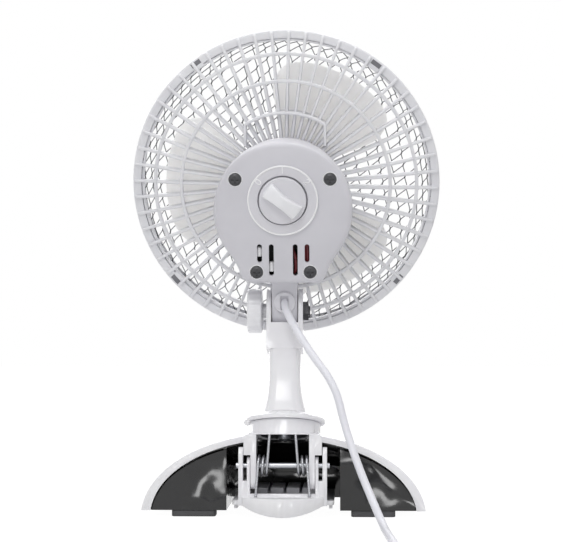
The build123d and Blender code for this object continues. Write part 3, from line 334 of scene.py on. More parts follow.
def squared_circle(power: float, count: int) -> Array:
    """A loop of half width and height 1, between a circle (power 2) and a square.

    The point at angle a is (sign(cos a)|cos a|^(2/n), sign(sin a)|sin a|^(2/n)).

    Args:
        power: The power n.
        count: Number of points.

    Returns:
        Points as rows of two numbers.
    """
    angle = np.linspace(0, FULL_TURN, count, endpoint=False) + np.pi / count
    way = np.stack([np.cos(angle), np.sin(angle)], axis=1)
    return np.sign(way) * np.abs(way) ** (2 / power)


def turned(shape: Shape, degrees: float) -> Shape:
    """A shape turned about Y, from Z towards X.

    Args:
        shape: Points and faces.
        degrees: The angle.

    Returns:
        Points and faces.
    """
    cosine, sine = np.cos(np.radians(degrees)), np.sin(np.radians(degrees))
    x, y, z = shape[0].T
    return np.stack([cosine * x + sine * z, y, cosine * z - sine * x], axis=1), shape[1]


def moved(shape: Shape, way: tuple[float, float, float]) -> Shape:
    """A shape moved along a way.

    Args:
        shape: Points and faces.
        way: The move in millimetres.

    Returns:
        Points and faces.
    """
    return shape[0] + way, shape[1]


# ---- Meshes and objects -------------------------------------------------------------------


def new_mesh(name: str, shape: Shape, place: Place) -> bpy.types.Mesh:
    """A mesh of a shape.

    Args:
        name: The mesh's name.
        shape: Points in millimetres and faces.
        place: The frame that the points are in.

    Returns:
        The mesh, in metres.
    """
    points, faces = shape
    mesh = bpy.data.meshes.new(name)
    mesh.from_pydata((place.world(points) * MILLIMETRE).tolist(), [], faces)
    return mesh


def new_object(name: str, data: bpy.types.ID) -> bpy.types.Object:
    """An object at the scene's origin.

    Args:
        name: Its name.
        data: Its mesh, curve, camera or lamp.

    Returns:
        The object.
    """
    entry = bpy.data.objects.new(name, data)
    bpy.context.scene.collection.objects.link(entry)
    return entry


def copied(node: str, ending: str) -> bpy.types.Object:
    """A copy of a CAD node as a new piece.

    Args:
        node: The CAD node.
        ending: What the piece's name has after the node's.

    Returns:
        The piece.
    """
    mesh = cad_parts[node].data.copy()
    mesh.name = f"{node}_{ending}"
    return new_object(f"{node}_{ending}", mesh)


def clean(mesh: bpy.types.Mesh, crease: float) -> None:
    """Merge doubles, close poles, point faces outwards and mark sharp edges.

    Args:
        mesh: The mesh to clean.
        crease: Edges sharper than this angle stay sharp.
    """
    work = bmesh.new()
    work.from_mesh(mesh)
    bmesh.ops.remove_doubles(work, verts=work.verts, dist=DOUBLES)
    bmesh.ops.dissolve_degenerate(work, edges=work.edges, dist=1e-7)
    bmesh.ops.recalc_face_normals(work, faces=work.faces)
    limit = np.radians(crease)
    for edge in work.edges:
        edge.smooth = len(edge.link_faces) != 2 or edge.calc_face_angle(0.0) < limit
    for face in work.faces:
        face.smooth = True
    work.to_mesh(mesh)
    work.free()


def flatten(mesh: bpy.types.Mesh) -> None:
    """Merge a CAD copy's loose triangles and join those that lie in one plane.

    Args:
        mesh: The mesh of the copy.
    """
    work = bmesh.new()
    work.from_mesh(mesh)
    bmesh.ops.remove_doubles(work, verts=work.verts, dist=DOUBLES)
    flat = np.radians(0.8)
    bmesh.ops.dissolve_limit(
        work, angle_limit=flat, verts=work.verts, edges=work.edges, use_dissolve_boundaries=False
    )
    work.to_mesh(mesh)
    work.free()
    mesh.shade_smooth()


def round_edges(piece: bpy.types.Object, width: float, crease: float, harden: bool) -> None:
    """Round a piece's edges as a mould leaves them.

    Args:
        piece: The piece.
        width: Width of the rounding in millimetres.
        crease: Edges sharper than this angle are rounded.
        harden: Whether flat faces keep their own shading.
    """
    bevel = piece.modifiers.new("mould radius", "BEVEL")
    bevel.width = width * MILLIMETRE
    bevel.segments = 2
    bevel.limit_method = "ANGLE"
    bevel.angle_limit = np.radians(crease)
    bevel.harden_normals = harden


def cut(piece: bpy.types.Object, shape: Shape, place: Place) -> None:
    """Cut a closed shape out of a piece's mesh, before its modifiers.

    Args:
        piece: The piece.
        shape: The cutter.
        place: The frame that the cutter's points are in.
    """
    mesh = new_mesh("cutter", shape, place)
    clean(mesh, 30)
    cutter, blank = new_object("cutter", mesh), new_object("blank", piece.data)
    step = blank.modifiers.new("cut", "BOOLEAN")
    step.operation = "DIFFERENCE"
    step.object = cutter
    step.solver = "EXACT"
    bpy.context.view_layer.update()
    result = bpy.data.meshes.new_from_object(blank.evaluated_get(bpy.context.evaluated_depsgraph_get()))
    old, piece.data = piece.data, result
    for entry in (cutter, blank):
        bpy.data.objects.remove(entry)
    for entry in (old, mesh):
        bpy.data.meshes.remove(entry)


# ---- Materials ----------------------------------------------------------------------------

# Scales of the textures per metre, and depths of their reliefs in metres.
STREAK_SCALE = 35.0
SWELL_SCALE = 38.0
DUST_SCALE = 90.0
SWELL_DEPTH = 0.004
GRAIN_DEPTH = 0.0002
MARK_DEPTH = 0.0001


def linear(hex_colour: str) -> tuple[float, float, float, float]:
    """A written sRGB colour as linear light.

    Args:
        hex_colour: The colour as "#rrggbb".

    Returns:
        Red, green, blue and an alpha of 1.
    """
    value = np.array([int(hex_colour[i : i + 2], 16) for i in (1, 3, 5)]) / 255
    light = np.where(value <= 0.04045, value / 12.92, ((value + 0.055) / 1.055) ** 2.4)
    return (*(float(channel) for channel in light), 1.0)


def add_node(
    tree: bpy.types.NodeTree, kind: str, settings: dict | None = None, links: dict | None = None
) -> bpy.types.Node:
    """Add one node with its settings and what feeds it.

    Args:
        tree: The material's node tree.
        kind: Node type, without the leading "ShaderNode".
        settings: Attributes, or socket values under the socket's name or number.
        links: Output sockets under the name or number of the socket they feed.

    Returns:
        The new node.
    """
    node = tree.nodes.new(f"ShaderNode{kind}")
    for key, value in (settings or {}).items():
        if isinstance(key, str) and hasattr(node, key):
            setattr(node, key, value)
        else:
            node.inputs[key].default_value = value
    for key, socket in (links or {}).items():
        tree.links.new(socket, node.inputs[key])
    return node


def new_tree(name: str) -> tuple[bpy.types.Material, bpy.types.NodeTree]:
    """A new material with an empty node tree.

    Args:
        name: The material's name.

    Returns:
        The material and its tree.
    """
    material = bpy.data.materials.new(name)
    material.use_nodes = True
    material.node_tree.nodes.clear()
    return material, material.node_tree


def add_noise(
    tree: bpy.types.NodeTree, place: Socket, scale: float, detail: float, roughness: float = 0.5
) -> Socket:
    """Add soft noise over the object.

    Args:
        tree: The material's node tree.
        place: The Object coordinates.
        scale: Its scale per metre.
        detail: Its octaves.
        roughness: How strong the finer octaves are.

    Returns:
        The noise, from 0 to 1.
    """
    settings = {"Scale": scale, "Detail": detail, "Roughness": roughness}
    return add_node(tree, "TexNoise", settings, {"Vector": place}).outputs["Fac"]


def add_range(
    tree: bpy.types.NodeTree, value: Socket, low: float, high: float, start: float = 0.0, end: float = 1.0
) -> Socket:
    """Add a step that carries a value from one range to another.

    Args:
        tree: The material's node tree.
        value: The value.
        low: What the start becomes.
        high: What the end becomes.
        start: Low end of the value's range.
        end: High end of the value's range.

    Returns:
        The new value.
    """
    settings = {"From Min": start, "From Max": end, "To Min": low, "To Max": high}
    return add_node(tree, "MapRange", settings, {"Value": value}).outputs["Result"]


def add_bump(
    tree: bpy.types.NodeTree, height: Socket, strength: float, distance: float, under: Socket | None = None
) -> Socket:
    """Add a relief.

    Args:
        tree: The material's node tree.
        height: The relief's height, from 0 to 1.
        strength: How strong it is.
        distance: Its depth in metres.
        under: A relief that it lies on.

    Returns:
        The bent normal.
    """
    links = {"Height": height} | ({"Normal": under} if under else {})
    return add_node(tree, "Bump", {"Strength": strength, "Distance": distance}, links).outputs["Normal"]


def add_surface(tree: bpy.types.NodeTree, settings: dict, links: dict) -> None:
    """End a material's tree in one surface.

    Args:
        tree: The material's node tree.
        settings: Socket values of the surface.
        links: What feeds its sockets.
    """
    surface = add_node(tree, "BsdfPrincipled", settings, links)
    add_node(tree, "OutputMaterial", links={"Surface": surface.outputs["BSDF"]})


@dataclass(frozen=True)
class TwoTones:
    """What every finish has: a colour and a close second shade that it drifts into."""

    colour: str
    shade: str

    def tone(self, tree: bpy.types.NodeTree, share: Socket) -> Socket:
        """The colour mixed with its shade.

        Args:
            tree: The material's node tree.
            share: The shade's share.

        Returns:
            The mixed colour.
        """
        settings = {"data_type": "RGBA", 6: linear(self.colour), 7: linear(self.shade)}
        return add_node(tree, "Mix", settings, {0: share}).outputs[2]


@dataclass(frozen=True)
class MouldedPlastic(TwoTones):
    """Moulded plastic, also used for black sheets of painted shade: even colour, faint flow streaks, a fine
    grain from the mould.
    """

    roughness: float = 0.32
    grain: float = 0.5
    relief: float = 0.04
    glow: float = 0.0
    glow_depth: float = 2.0
    wave: float = 0.0

    def material(self, name: str) -> bpy.types.Material:
        """Build the material.

        Args:
            name: Its name.

        Returns:
            The material.
        """
        material, tree = new_tree(name)
        place = add_node(tree, "TexCoord").outputs["Object"]
        # Flow streaks are a few centimetres long, the mould's grain is half a millimetre.
        streak = add_noise(tree, place, STREAK_SCALE, 3.0, 0.55)
        grain = add_noise(tree, place, PER_METRE / self.grain, 1.0)
        bump = add_bump(tree, grain, self.relief, GRAIN_DEPTH)
        if self.wave:
            swell = add_noise(tree, place, SWELL_SCALE, 1.0)
            bump = add_bump(tree, swell, self.wave, SWELL_DEPTH, bump)
        settings = {"IOR": 1.53}
        if self.glow:
            settings |= {
                "Subsurface Weight": self.glow,
                "Subsurface Scale": self.glow_depth * MILLIMETRE,
                "Subsurface Radius": (1.0, 0.95, 0.9),
            }
        links = {
            "Base Color": self.tone(tree, add_range(tree, streak, 0.0, 1.0, 0.35, 0.65)),
            "Roughness": add_range(tree, streak, self.roughness - 0.05, self.roughness + 0.05),
            "Normal": bump,
        }
        add_surface(tree, settings, links)
        return material


@dataclass(frozen=True)
class SteelFinish(TwoTones):
    """Drawn or plated steel: bright, with fine marks from drawing and handling."""

    roughness: float = 0.3
    marks: float = 0.8
    relief: float = 0.06

    def material(self, name: str) -> bpy.types.Material:
        """Build the material.

        Args:
            name: Its name.

        Returns:
            The material.
        """
        material, tree = new_tree(name)
        place = add_node(tree, "TexCoord").outputs["Object"]
        marks = add_noise(tree, place, PER_METRE / self.marks, 4.0, 0.6)
        links = {
            "Base Color": self.tone(tree, marks),
            "Roughness": add_range(tree, marks, self.roughness - 0.08, self.roughness + 0.1),
            "Normal": add_bump(tree, marks, self.relief, MARK_DEPTH),
        }
        add_surface(tree, {"Metallic": 1.0}, links)
        return material


@dataclass(frozen=True)
class MouldedRubber(TwoTones):
    """Moulded rubber: matte, slightly dusty, with a pebbled skin."""

    roughness: float = 0.75
    pebble: float = 0.7
    relief: float = 0.2

    def material(self, name: str) -> bpy.types.Material:
        """Build the material.

        Args:
            name: Its name.

        Returns:
            The material.
        """
        material, tree = new_tree(name)
        place = add_node(tree, "TexCoord").outputs["Object"]
        pebble = add_node(tree, "TexVoronoi", {"Scale": PER_METRE / self.pebble}, {"Vector": place})
        dust = add_noise(tree, place, DUST_SCALE, 4.0)
        links = {
            "Base Color": self.tone(tree, dust),
            "Normal": add_bump(tree, pebble.outputs["Distance"], self.relief, GRAIN_DEPTH),
        }
        add_surface(tree, {"Roughness": self.roughness, "IOR": 1.5}, links)
        return material


class Finish(Enum):
    """Every finish on the fan; a material has its finish's name in small letters."""

    # White ABS of the cage: satin, a little light passes through its thin ribs.
    WHITE_ABS_CAGE = MouldedPlastic("#e7e7ea", "#e1e1e5", 0.34, 0.6, 0.05, 0.12, 1.5)
    # Housing and cover: the same white, seen in the shade, finely spark-eroded.
    WHITE_ABS_HOUSING = MouldedPlastic("#d3d2d8", "#cdccd2", 0.42, 0.5, 0.08)
    # A darker copy of the white: painted shade on the dial ring, the knob's disc and the grommet.
    WHITE_ABS_DIAL = MouldedPlastic("#d9d8dd", "#d4d3d9", 0.38, 0.5, 0.05)
    # A brighter copy of the white: painted highlight on raised marks, beads, screw rims and splice caps.
    WHITE_ABS_MARK = MouldedPlastic("#f7f7f8", "#f3f3f5", 0.3, 0.6, 0.03)
    # Polished white ABS of stem, base and clip: glossy.
    POLISHED_WHITE_ABS = MouldedPlastic("#f2f2f4", "#edecf0", 0.16, 1.2, 0.015, 0.08, 1.5)
    WHITE_ABS_KNOB = MouldedPlastic("#eeeef1", "#e9e9ed", 0.26, 0.6, 0.03)
    # Thin polypropylene blades let some light through.
    WHITE_PP_BLADE = MouldedPlastic("#fcfcfb", "#f9f9f8", 0.3, 0.8, 0.02, 1.0, 9.0)
    PALE_BADGE = MouldedPlastic("#e4e5e8", "#dfe0e4", 0.2, 0.8, 0.02)
    # Glossy charcoal ABS of the tray, slightly wavy from its mould.
    CHARCOAL_ABS = MouldedPlastic("#1e1e1f", "#1a1a1b", 0.12, 1.2, 0.02, wave=0.9)
    # Black for sheets and cores put into vents and holes: painted shade.
    BLACK_CARD = MouldedPlastic("#111112", "#0d0d0e", 0.6, 0.6, 0.05)
    IVORY_NYLON = MouldedPlastic("#ecebe4", "#e4e2d9", 0.45, 0.8, 0.05)
    DARK_RED_LEAD = MouldedPlastic("#74262a", "#642024", 0.4, 0.8, 0.04)
    # Grey for the latch gaps: painted shade.
    LATCH_GREY = MouldedPlastic("#77777c", "#707075", 0.5, 0.6, 0.05)
    VARNISHED_WINDING = MouldedPlastic("#b98c3f", "#a97c33", 0.4, 0.5, 0.2)
    # PVC sheath of the cord: satin, slightly bluish white.
    WHITE_PVC_CORD = MouldedPlastic("#ebebf1", "#e5e5ec", 0.38, 1.5, 0.03, 0.1, 1.5)
    ZINC_PLATED_STEEL = SteelFinish("#c3c5c9", "#a4a6ab", 0.28)
    SPRING_STEEL = SteelFinish("#b4b5b9", "#8f9094", 0.25)
    BLACKENED_SCREW = SteelFinish("#58585a", "#414143", 0.42)
    MESH_WIRE = SteelFinish("#6f7074", "#5d5e62", 0.4)
    LAMINATION_STEEL = SteelFinish("#6a6a6d", "#505053", 0.5)
    SINTERED_BRONZE = SteelFinish("#a8814f", "#8c6a3f", 0.45)
    NICKEL_PLATE = SteelFinish("#d3d2cd", "#c1c0bb", 0.18)
    BLACK_FOOT_RUBBER = MouldedRubber("#58585a", "#4c4c4e")
    # A lighter grey than the pads' rubber: painted light on pads that sit in the bay's shade.
    GREY_PAD_RUBBER = MouldedRubber("#cdcdd2", "#c2c2c8")


# ---- Sub-assemblies -----------------------------------------------------------------------


@dataclass
class Assembly:
    """A sub-assembly: its book of finishes, the frame of its new pieces and their body."""

    finishes: dict[Finish, bpy.types.Material]
    place: Place = TABLE
    body: Body | None = None

    def add(
        self,
        name: str,
        shape: Shape,
        finish: Finish,
        slot: Slot,
        *nodes: str,
        body: Body | None = None,
        crease: float = 38.0,
    ) -> bpy.types.Object:
        """Make one piece from a shape.

        Args:
            name: The piece's name.
            shape: Points in millimetres and faces.
            finish: Its finish.
            slot: The material slot that it stands under.
            nodes: The CAD nodes that it stands for.
            body: The body it rides on, if it isn't the sub-assembly's.
            crease: Edges sharper than this angle stay sharp.

        Returns:
            The new piece.
        """
        piece = new_object(name, new_mesh(name, shape, self.place))
        clean(piece.data, crease)
        return self.dress(piece, finish, slot, nodes, body or self.body)

    def soften(
        self, node: str, finish: Finish, slot: Slot, width: float, body: Body
    ) -> bpy.types.Object:
        """A copy of a CAD node whose edges are rounded as a mould leaves them.

        Args:
            node: The CAD node.
            finish: Its finish.
            slot: The material slot that it stands under.
            width: Width of the rounding in millimetres.
            body: The body it rides on.

        Returns:
            The new piece.
        """
        piece = copied(node, "moulded")
        flatten(piece.data)
        round_edges(piece, width, crease=30.0, harden=True)
        return self.dress(piece, finish, slot, [node], body)

    def dress(
        self, piece: bpy.types.Object, finish: Finish, slot: Slot, nodes: Sequence[str], body: Body | None
    ) -> bpy.types.Object:
        """Give a piece its material and body, and hide the CAD nodes that it stands for.

        Args:
            piece: The piece.
            finish: Its finish.
            slot: The material slot that it stands under; not used.
            nodes: The CAD nodes that it stands for.
            body: The body it rides on, or None to leave it unattached.

        Returns:
            The same piece.
        """
        piece.data.materials.clear()
        piece.data.materials.append(self.finishes[finish])
        if nodes:
            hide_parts(*nodes)
        if body is not None:
            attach(piece, body.value)
        LOG.info("made %s", piece.name)
        return piece

    def dress_nodes(self, nodes: dict[Finish, Sequence[str]]) -> None:
        """Give the CAD nodes that stay in view their material.

        Args:
            nodes: The nodes under their finish.
        """
        for finish, names in nodes.items():
            for node in names:
                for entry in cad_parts[node].material_slots:
                    entry.material = self.finishes[finish]
                LOG.info("dressed %s", node)


@dataclass
class Cage(Assembly):
    """Front rim with its wire mesh and badge, and the rear guard with ribs and rings."""

    place: Place = FAN_FRAME
    body: Body | None = Body.HEAD
    radius: float = 95.0
    wall: float = 1.6
    lip: float = 5.2
    lip_y: float = -6.0
    front_y: float = -22.0
    mesh_radius: float = 88.8
    bowl_front: float = -46.0
    shoulder: float = 72.8
    crown_rise: float = 7.0
    wall_top: tuple = (83.8, -31.6)
    mesh_end: tuple = (91.2, -17.6)
    rib_phase: float = -1.6
    plate: float = 28.0
    strand: float = 0.29
    knot: float = 0.44
    weave: tuple = ((-6.6, 6.0), (-1.2, -7.55))
    knot_step: tuple = (0.6, -1.4)
    lattice: int = 40
    badge_radius: float = 22.0
    ribs: int = 56
    rib_foot: float = -8.0
    rings: tuple = ((80.7, -2.9), (64.4, 0.05))
    ring_halves: tuple = (1.1, 1.0)
    ring_depth: float = 4.0
    latch_angles: tuple = (54.0, 127.0, 221.0, 319.0)
    arch_radius: float = 45.3
    arch_half: float = 24.4
    arch_rise: float = 3.0
    arch_foot: float = 25.0
    arch_corner: float = 3.0
    band_half: float = 0.9

    def build(self) -> None:
        """Build every piece of the cage."""
        self.rim()
        self.mesh()
        self.badge()
        self.rear_guard()
        self.latches()

    def rim(self) -> None:
        """The front rim: a rounded profile turned about the fan axis."""
        outer, wall, lip_y, front_y = self.radius, self.wall, self.lip_y, self.front_y
        inner = self.mesh_radius + 0.2
        corners = [
            (outer - self.lip, lip_y), (outer, lip_y), (outer, lip_y - 4), (outer - 2, front_y),
            (inner, front_y), (inner, front_y + wall), (outer - 2 - wall, front_y + wall),
            (outer - wall, lip_y - 4), (outer - wall, lip_y - wall), (outer - self.lip, lip_y - wall),
        ]
        radii = [0.5, 1.3, 8.0, 1.6, 0.4, 0.3, 0.8, 4.0, 0.6, 0.5]
        profile = rounded(corners, radii)
        self.add(
            "cage_front_rim", lathe(profile, 192), Finish.WHITE_ABS_CAGE, Slot.CAGE, "front_rim", crease=60
        )

    def bowl(self, samples: int) -> Array:
        """The mesh bowl's profile from its middle to its edge.

        The front is a circle's arc with the given rise. A quadratic curve joins it to the
        drafted side wall, whose end is the mesh's edge. It is resampled to even steps.

        Args:
            samples: Number of points.

        Returns:
            Arc lengths, radii and heights as rows.
        """
        curve = (self.shoulder**2 + self.crown_rise**2) / (2 * self.crown_rise)
        radius = np.linspace(0, self.shoulder, 60)
        crown = np.stack([radius, self.bowl_front + curve - np.sqrt(curve**2 - radius**2)], axis=1)
        edge, wall_top = np.array([self.mesh_radius, self.front_y + self.wall]), np.array(self.wall_top)
        slope = self.shoulder / np.sqrt(curve**2 - self.shoulder**2)
        wall_slope = (edge[1] - wall_top[1]) / (edge[0] - wall_top[0])
        drop = crown[-1, 1] - wall_top[1] + wall_slope * wall_top[0] - slope * self.shoulder
        meet = drop / (wall_slope - slope)
        corner = np.array([meet, crown[-1, 1] + slope * (meet - self.shoulder)])
        share = np.linspace(0, 1, 20)[1:, None]
        bend = (1 - share) ** 2 * crown[-1] + 2 * share * (1 - share) * corner + share**2 * wall_top
        line = np.concatenate([crown, bend, [edge, self.mesh_end]])
        length = np.concatenate([[0], np.cumsum(np.linalg.norm(np.diff(line, axis=0), axis=1))])
        even = np.linspace(0, length[-1], samples)
        radius, height = (np.interp(even, length, line[:, column]) for column in (0, 1))
        return np.stack([even, radius, height], axis=1)

    def mesh(self) -> None:
        """The mesh: a slanted net of six-sided openings laid over the bowl.

        At each point T of a lattice with the steps a and b stands a thick knot from T to
        B = T + k. A strand runs on from B to T + b, another from T to B + a. The flat net is
        laid over the bowl by taking the distance from its middle as length along the profile.
        """
        profile = self.bowl(200)
        first, second, knot = (np.array(step) for step in (*self.weave, self.knot_step))
        count = np.arange(-self.lattice, self.lattice + 1)
        place = (count[:, None, None] * first + count[None, :, None] * second).reshape(-1, 2)
        parts = []
        for start, end, radius in (
            (place, place + knot, self.knot),
            (place + knot, place + second, self.strand),
            (place, place + first + knot, self.strand),
        ):
            keep = np.minimum(np.hypot(*start.T), np.hypot(*end.T)) < profile[-1, 0] - 0.4
            parts.append(self.strands(start[keep], end[keep], radius, profile))
        edge = np.array([(-0.4, -0.4), (0.4, -0.4), (0.4, 0.4), (-0.4, 0.4)]) + self.mesh_end
        parts.append(lathe(rounded(edge, 0.3, 3), 144))
        self.add("cage_wire_mesh", joined(parts), Finish.MESH_WIRE, Slot.MESH, "front_mesh", crease=70)

    @staticmethod
    def strands(start: Array, end: Array, radius: float, profile: Array) -> Shape:
        """Short tubes between pairs of points of the flat net, laid over the bowl.

        Args:
            start: Their flat starts as rows of two.
            end: Their flat ends.
            radius: Radius of the tubes.
            profile: The bowl's arc lengths, radii and heights.

        Returns:
            Points and faces.
        """
        steps, sides = 4, 6
        share = np.linspace(0, 1, steps)[None, :, None]
        flat = start[:, None] * (1 - share) + end[:, None] * share
        distance = np.hypot(flat[..., 0], flat[..., 1])
        way = flat / np.maximum(distance, 1e-6)[..., None]
        reach = np.interp(distance, profile[:, 0], profile[:, 1])
        height = np.interp(distance, profile[:, 0], profile[:, 2])
        path = np.stack([reach * way[..., 0], height, reach * way[..., 1]], axis=-1)
        tangent = path[:, -1:] - path[:, :1]
        tangent /= np.linalg.norm(tangent, axis=-1, keepdims=True) + 1e-9
        across = np.cross(tangent, np.array([0.13, 1.0, 0.21]))
        across /= np.linalg.norm(across, axis=-1, keepdims=True) + 1e-9
        upward = np.cross(tangent, across)
        angle = np.linspace(0, FULL_TURN, sides, endpoint=False)[:, None]
        ring = radius * (np.cos(angle) * across[:, :, None] + np.sin(angle) * upward[:, :, None])
        points = path[:, :, None] + ring
        first = np.arange(len(points))[:, None] * steps * sides
        one = np.array(grid_faces(steps, sides, wrap_columns=True))
        faces = (one[None] + first[:, None]).reshape(-1, 4).tolist()
        caps = np.arange(sides)[None] + first
        faces += caps.tolist() + (caps + (steps - 1) * sides).tolist()
        return points.reshape(-1, 3), faces

    def badge(self) -> None:
        """The bare badge at the middle of the mesh."""
        radius, back, front = self.badge_radius, self.bowl_front + 0.6, self.bowl_front - 2.0
        corners = [(0, back), (21.6, back), (radius, front + 1.2), (19.6, front), (0, front - 0.6)]
        profile = rounded(corners, 0.9, 5, closed=False)
        self.add("cage_badge", lathe(profile, 96, closed=False), Finish.PALE_BADGE, Slot.BADGE, "front_badge")

    def rear_guard(self) -> None:
        """The rear guard: ribs of rounded section that end over the rim, rings and arch."""
        shapes = [self.rib(self.rib_phase + number * 360 / self.ribs) for number in range(self.ribs)]
        wide, narrow = self.ring_halves
        for radius, top in self.rings:
            foot = top - self.ring_depth
            upper = [(radius - wide, top), (radius + wide, top)]
            lower = [(radius + narrow, foot), (radius - narrow, foot)]
            shapes.append(lathe(rounded(upper + lower, 0.7), 168))
        rim = [(88.2, -7.0), (89.6, -7.0), (89.6, -11.5), (88.2, -11.5)]
        shapes.append(lathe(rounded(rim, 0.5), 168))
        plate = [(13.0, -3.0), (13.0, 0.0), (self.plate, 0.0), (self.plate + 0.4, -3.0)]
        shapes.append(lathe(rounded(plate, 0.5), 96))
        shapes.append(self.arch())
        self.add("cage_rear_guard", joined(shapes), Finish.WHITE_ABS_CAGE, Slot.CAGE, "rear_guard", crease=55)

    def rib(self, angle: float) -> Shape:
        """One rib: a rounded section whose depth and width change along its radius.

        Args:
            angle: Its angle about the fan axis.

        Returns:
            Points and faces.
        """
        foot = self.rib_foot
        knots = np.array([self.plate - 1.5, 50, 64.4, 72, 80.7, 88.0, 92.9, 93.7, 94.2, 94.4])
        top = np.array([0.0, 0.0, 0.0, -1.3, -2.9, -3.9, -4.4, -4.6, -5.1, -6.0])
        bottom = np.array([foot, foot, foot, foot, foot, -7.6, -6.3, -6.3, -6.3, -6.3])
        half = np.array([1.2, 1.12, 1.05, 1.02, 1.0, 1.0, 1.05, 0.95, 0.7, 0.3])
        middle, tall = (top + bottom) / 2, (top - bottom) / 2
        sections = squared_circle(3.6, 12)[None] * np.stack([half, tall], axis=1)[:, None]
        path = np.stack([np.zeros_like(knots), middle, knots], axis=1)
        across = np.broadcast_to([1.0, 0.0, 0.0], path.shape)
        upward = np.broadcast_to([0.0, 1.0, 0.0], path.shape)
        return turned(carried(sections, path, across, upward), angle)

    def arch(self) -> Shape:
        """The raised arch above the motor: a rounded band along its outline.

        Returns:
            Points and faces.
        """
        half, reach, foot = self.arch_half, self.arch_radius, self.arch_foot
        spread = np.arcsin(half / reach)
        angle = np.linspace(-spread, spread, 41)
        over = np.stack([reach * np.sin(angle), reach * np.cos(angle)], axis=1)
        corners = np.concatenate([[(-half, foot)], over, [(half, foot)]])
        radii = np.zeros(len(corners))
        radii[[1, -2]] = self.arch_corner
        flat = rounded(corners, radii, 4, closed=False)
        lowest = reach**2 - half**2
        flat[:, 1] = np.minimum(flat[:, 1], np.sqrt(np.maximum(reach**2 - flat[:, 0] ** 2, lowest)))
        path = np.insert(flat, Axis.Y, 0.0, axis=1)
        keep = np.concatenate([[True], np.linalg.norm(np.diff(path, axis=0), axis=1) > 0.05])
        path = path[keep]
        upward = np.broadcast_to([0.0, 1.0, 0.0], path.shape)
        side, rise, low = self.band_half, self.arch_rise, self.rib_foot
        band = rounded([(-side, rise), (side, rise), (side, low), (-side, low)], 0.6)
        return carried(band, path, np.cross(directions(path), upward), upward)

    def latches(self) -> None:
        """Four tabs of the guard in the slots of the rim's lip, each with a grey plate of painted shade in
        its gap.
        """
        for name, span, half, low, high, finish in (
            ("cage_latches", (88.6, 94.4), 3.6, -9.6, -5.95, Finish.WHITE_ABS_CAGE),
            # The gaps' grey plates are painted shade.
            ("cage_latch_gaps", (91.0, 93.8), 3.3, -6.4, -5.87, Finish.LATCH_GREY),
        ):
            loop = rounded([(-half, high), (half, high), (half, low), (-half, low)], 0.2)
            tab = prism(loop, span, Axis.Z)
            tabs = joined([turned(tab, 90 - angle) for angle in self.latch_angles])
            self.add(name, tabs, finish, Slot.CAGE)


@dataclass
class Rotor(Assembly):
    """Three cambered blades on their hub."""

    place: Place = FAN_FRAME
    body: Body | None = Body.FAN
    tip: float = 75.5
    tip_fall: float = 15.0
    root: float = 15.5
    middle_y: float = -21.0
    tip_angle: float = 39.0
    root_angle: float = 34.0
    camber: float = 6.0
    pitch: float = 14.0
    thickness: float = 1.6
    edge_share: float = 0.05
    edge_thinness: float = 0.12
    angles: tuple = (-30.0, 90.0, 210.0)
    hub_radius: float = 17.0
    hub_bore: float = 2.6
    hub_depth: float = 21.0

    def build(self) -> None:
        """Build the blades and dress the nut."""
        front, back = self.middle_y - self.hub_depth / 2, self.middle_y + self.hub_depth / 2
        bore, outer, boss = self.hub_bore, self.hub_radius, 6.0
        hub = [
            (bore, front), (outer, front), (outer, back), (outer - 2, back),
            (outer - 2, front + 2), (boss, front + 2), (boss, back), (bore, back),
        ]
        shapes = [turned(self.blade(), angle) for angle in self.angles]
        shapes.append(lathe(rounded(hub, [0.3, 2.2, 0.6, 0.5, 1.5, 1.0, 0.5, 0.3]), 96))
        self.add("rotor_blades", joined(shapes), Finish.WHITE_PP_BLADE, Slot.BLADE, "fan_blade", crease=50)
        self.dress_nodes({Finish.WHITE_PP_BLADE: ["blade_nut"]})

    def blade(self) -> Shape:
        """One blade as a thin closed shell.

        The grid runs over u from edge to edge and v from root to tip. The angle is u times
        a(v), the tip falls away as the 7th power of u, and the height is a parabola of the
        distance across, tilted by the pitch.

        Returns:
            Points and faces.
        """
        rows, columns = 25, 41
        u, v = np.linspace(-1, 1, columns)[None, :], np.linspace(0, 1, rows)[:, None]
        tip = self.tip - self.tip_fall * np.abs(u) ** 7
        radius = self.root + (tip - self.root) * v
        spread = self.root_angle + (self.tip_angle - self.root_angle) * v
        angle = np.radians(spread * (u * (1 - 0.04 * v**6 * u**2)))
        x, z = radius * np.sin(angle), radius * np.cos(angle)
        half_chord = self.tip * np.sin(np.radians(self.tip_angle))
        bend = self.camber * (0.5 - (x / half_chord) ** 2)
        pitch = np.radians(self.pitch)
        y = self.middle_y + bend * np.cos(pitch) + x * np.sin(pitch)
        edge = np.minimum(1 - np.abs(u), (1 - v) * 1.2) * np.ones_like(x)
        half = self.thickness / 2 * np.sqrt(np.clip(edge / self.edge_share, self.edge_thinness, 1.0))
        skins = [np.stack([x, y + side * half, z], axis=-1).reshape(-1, 3) for side in (1, -1)]
        faces, count = grid_faces(rows, columns), rows * columns
        flipped = [[corner + count for corner in reversed(face)] for face in faces]
        border = grid_border(rows, columns)
        following = np.roll(border, -1)
        walls = np.stack([border, following, following + count, border + count], axis=1).tolist()
        return np.concatenate(skins), faces + flipped + walls


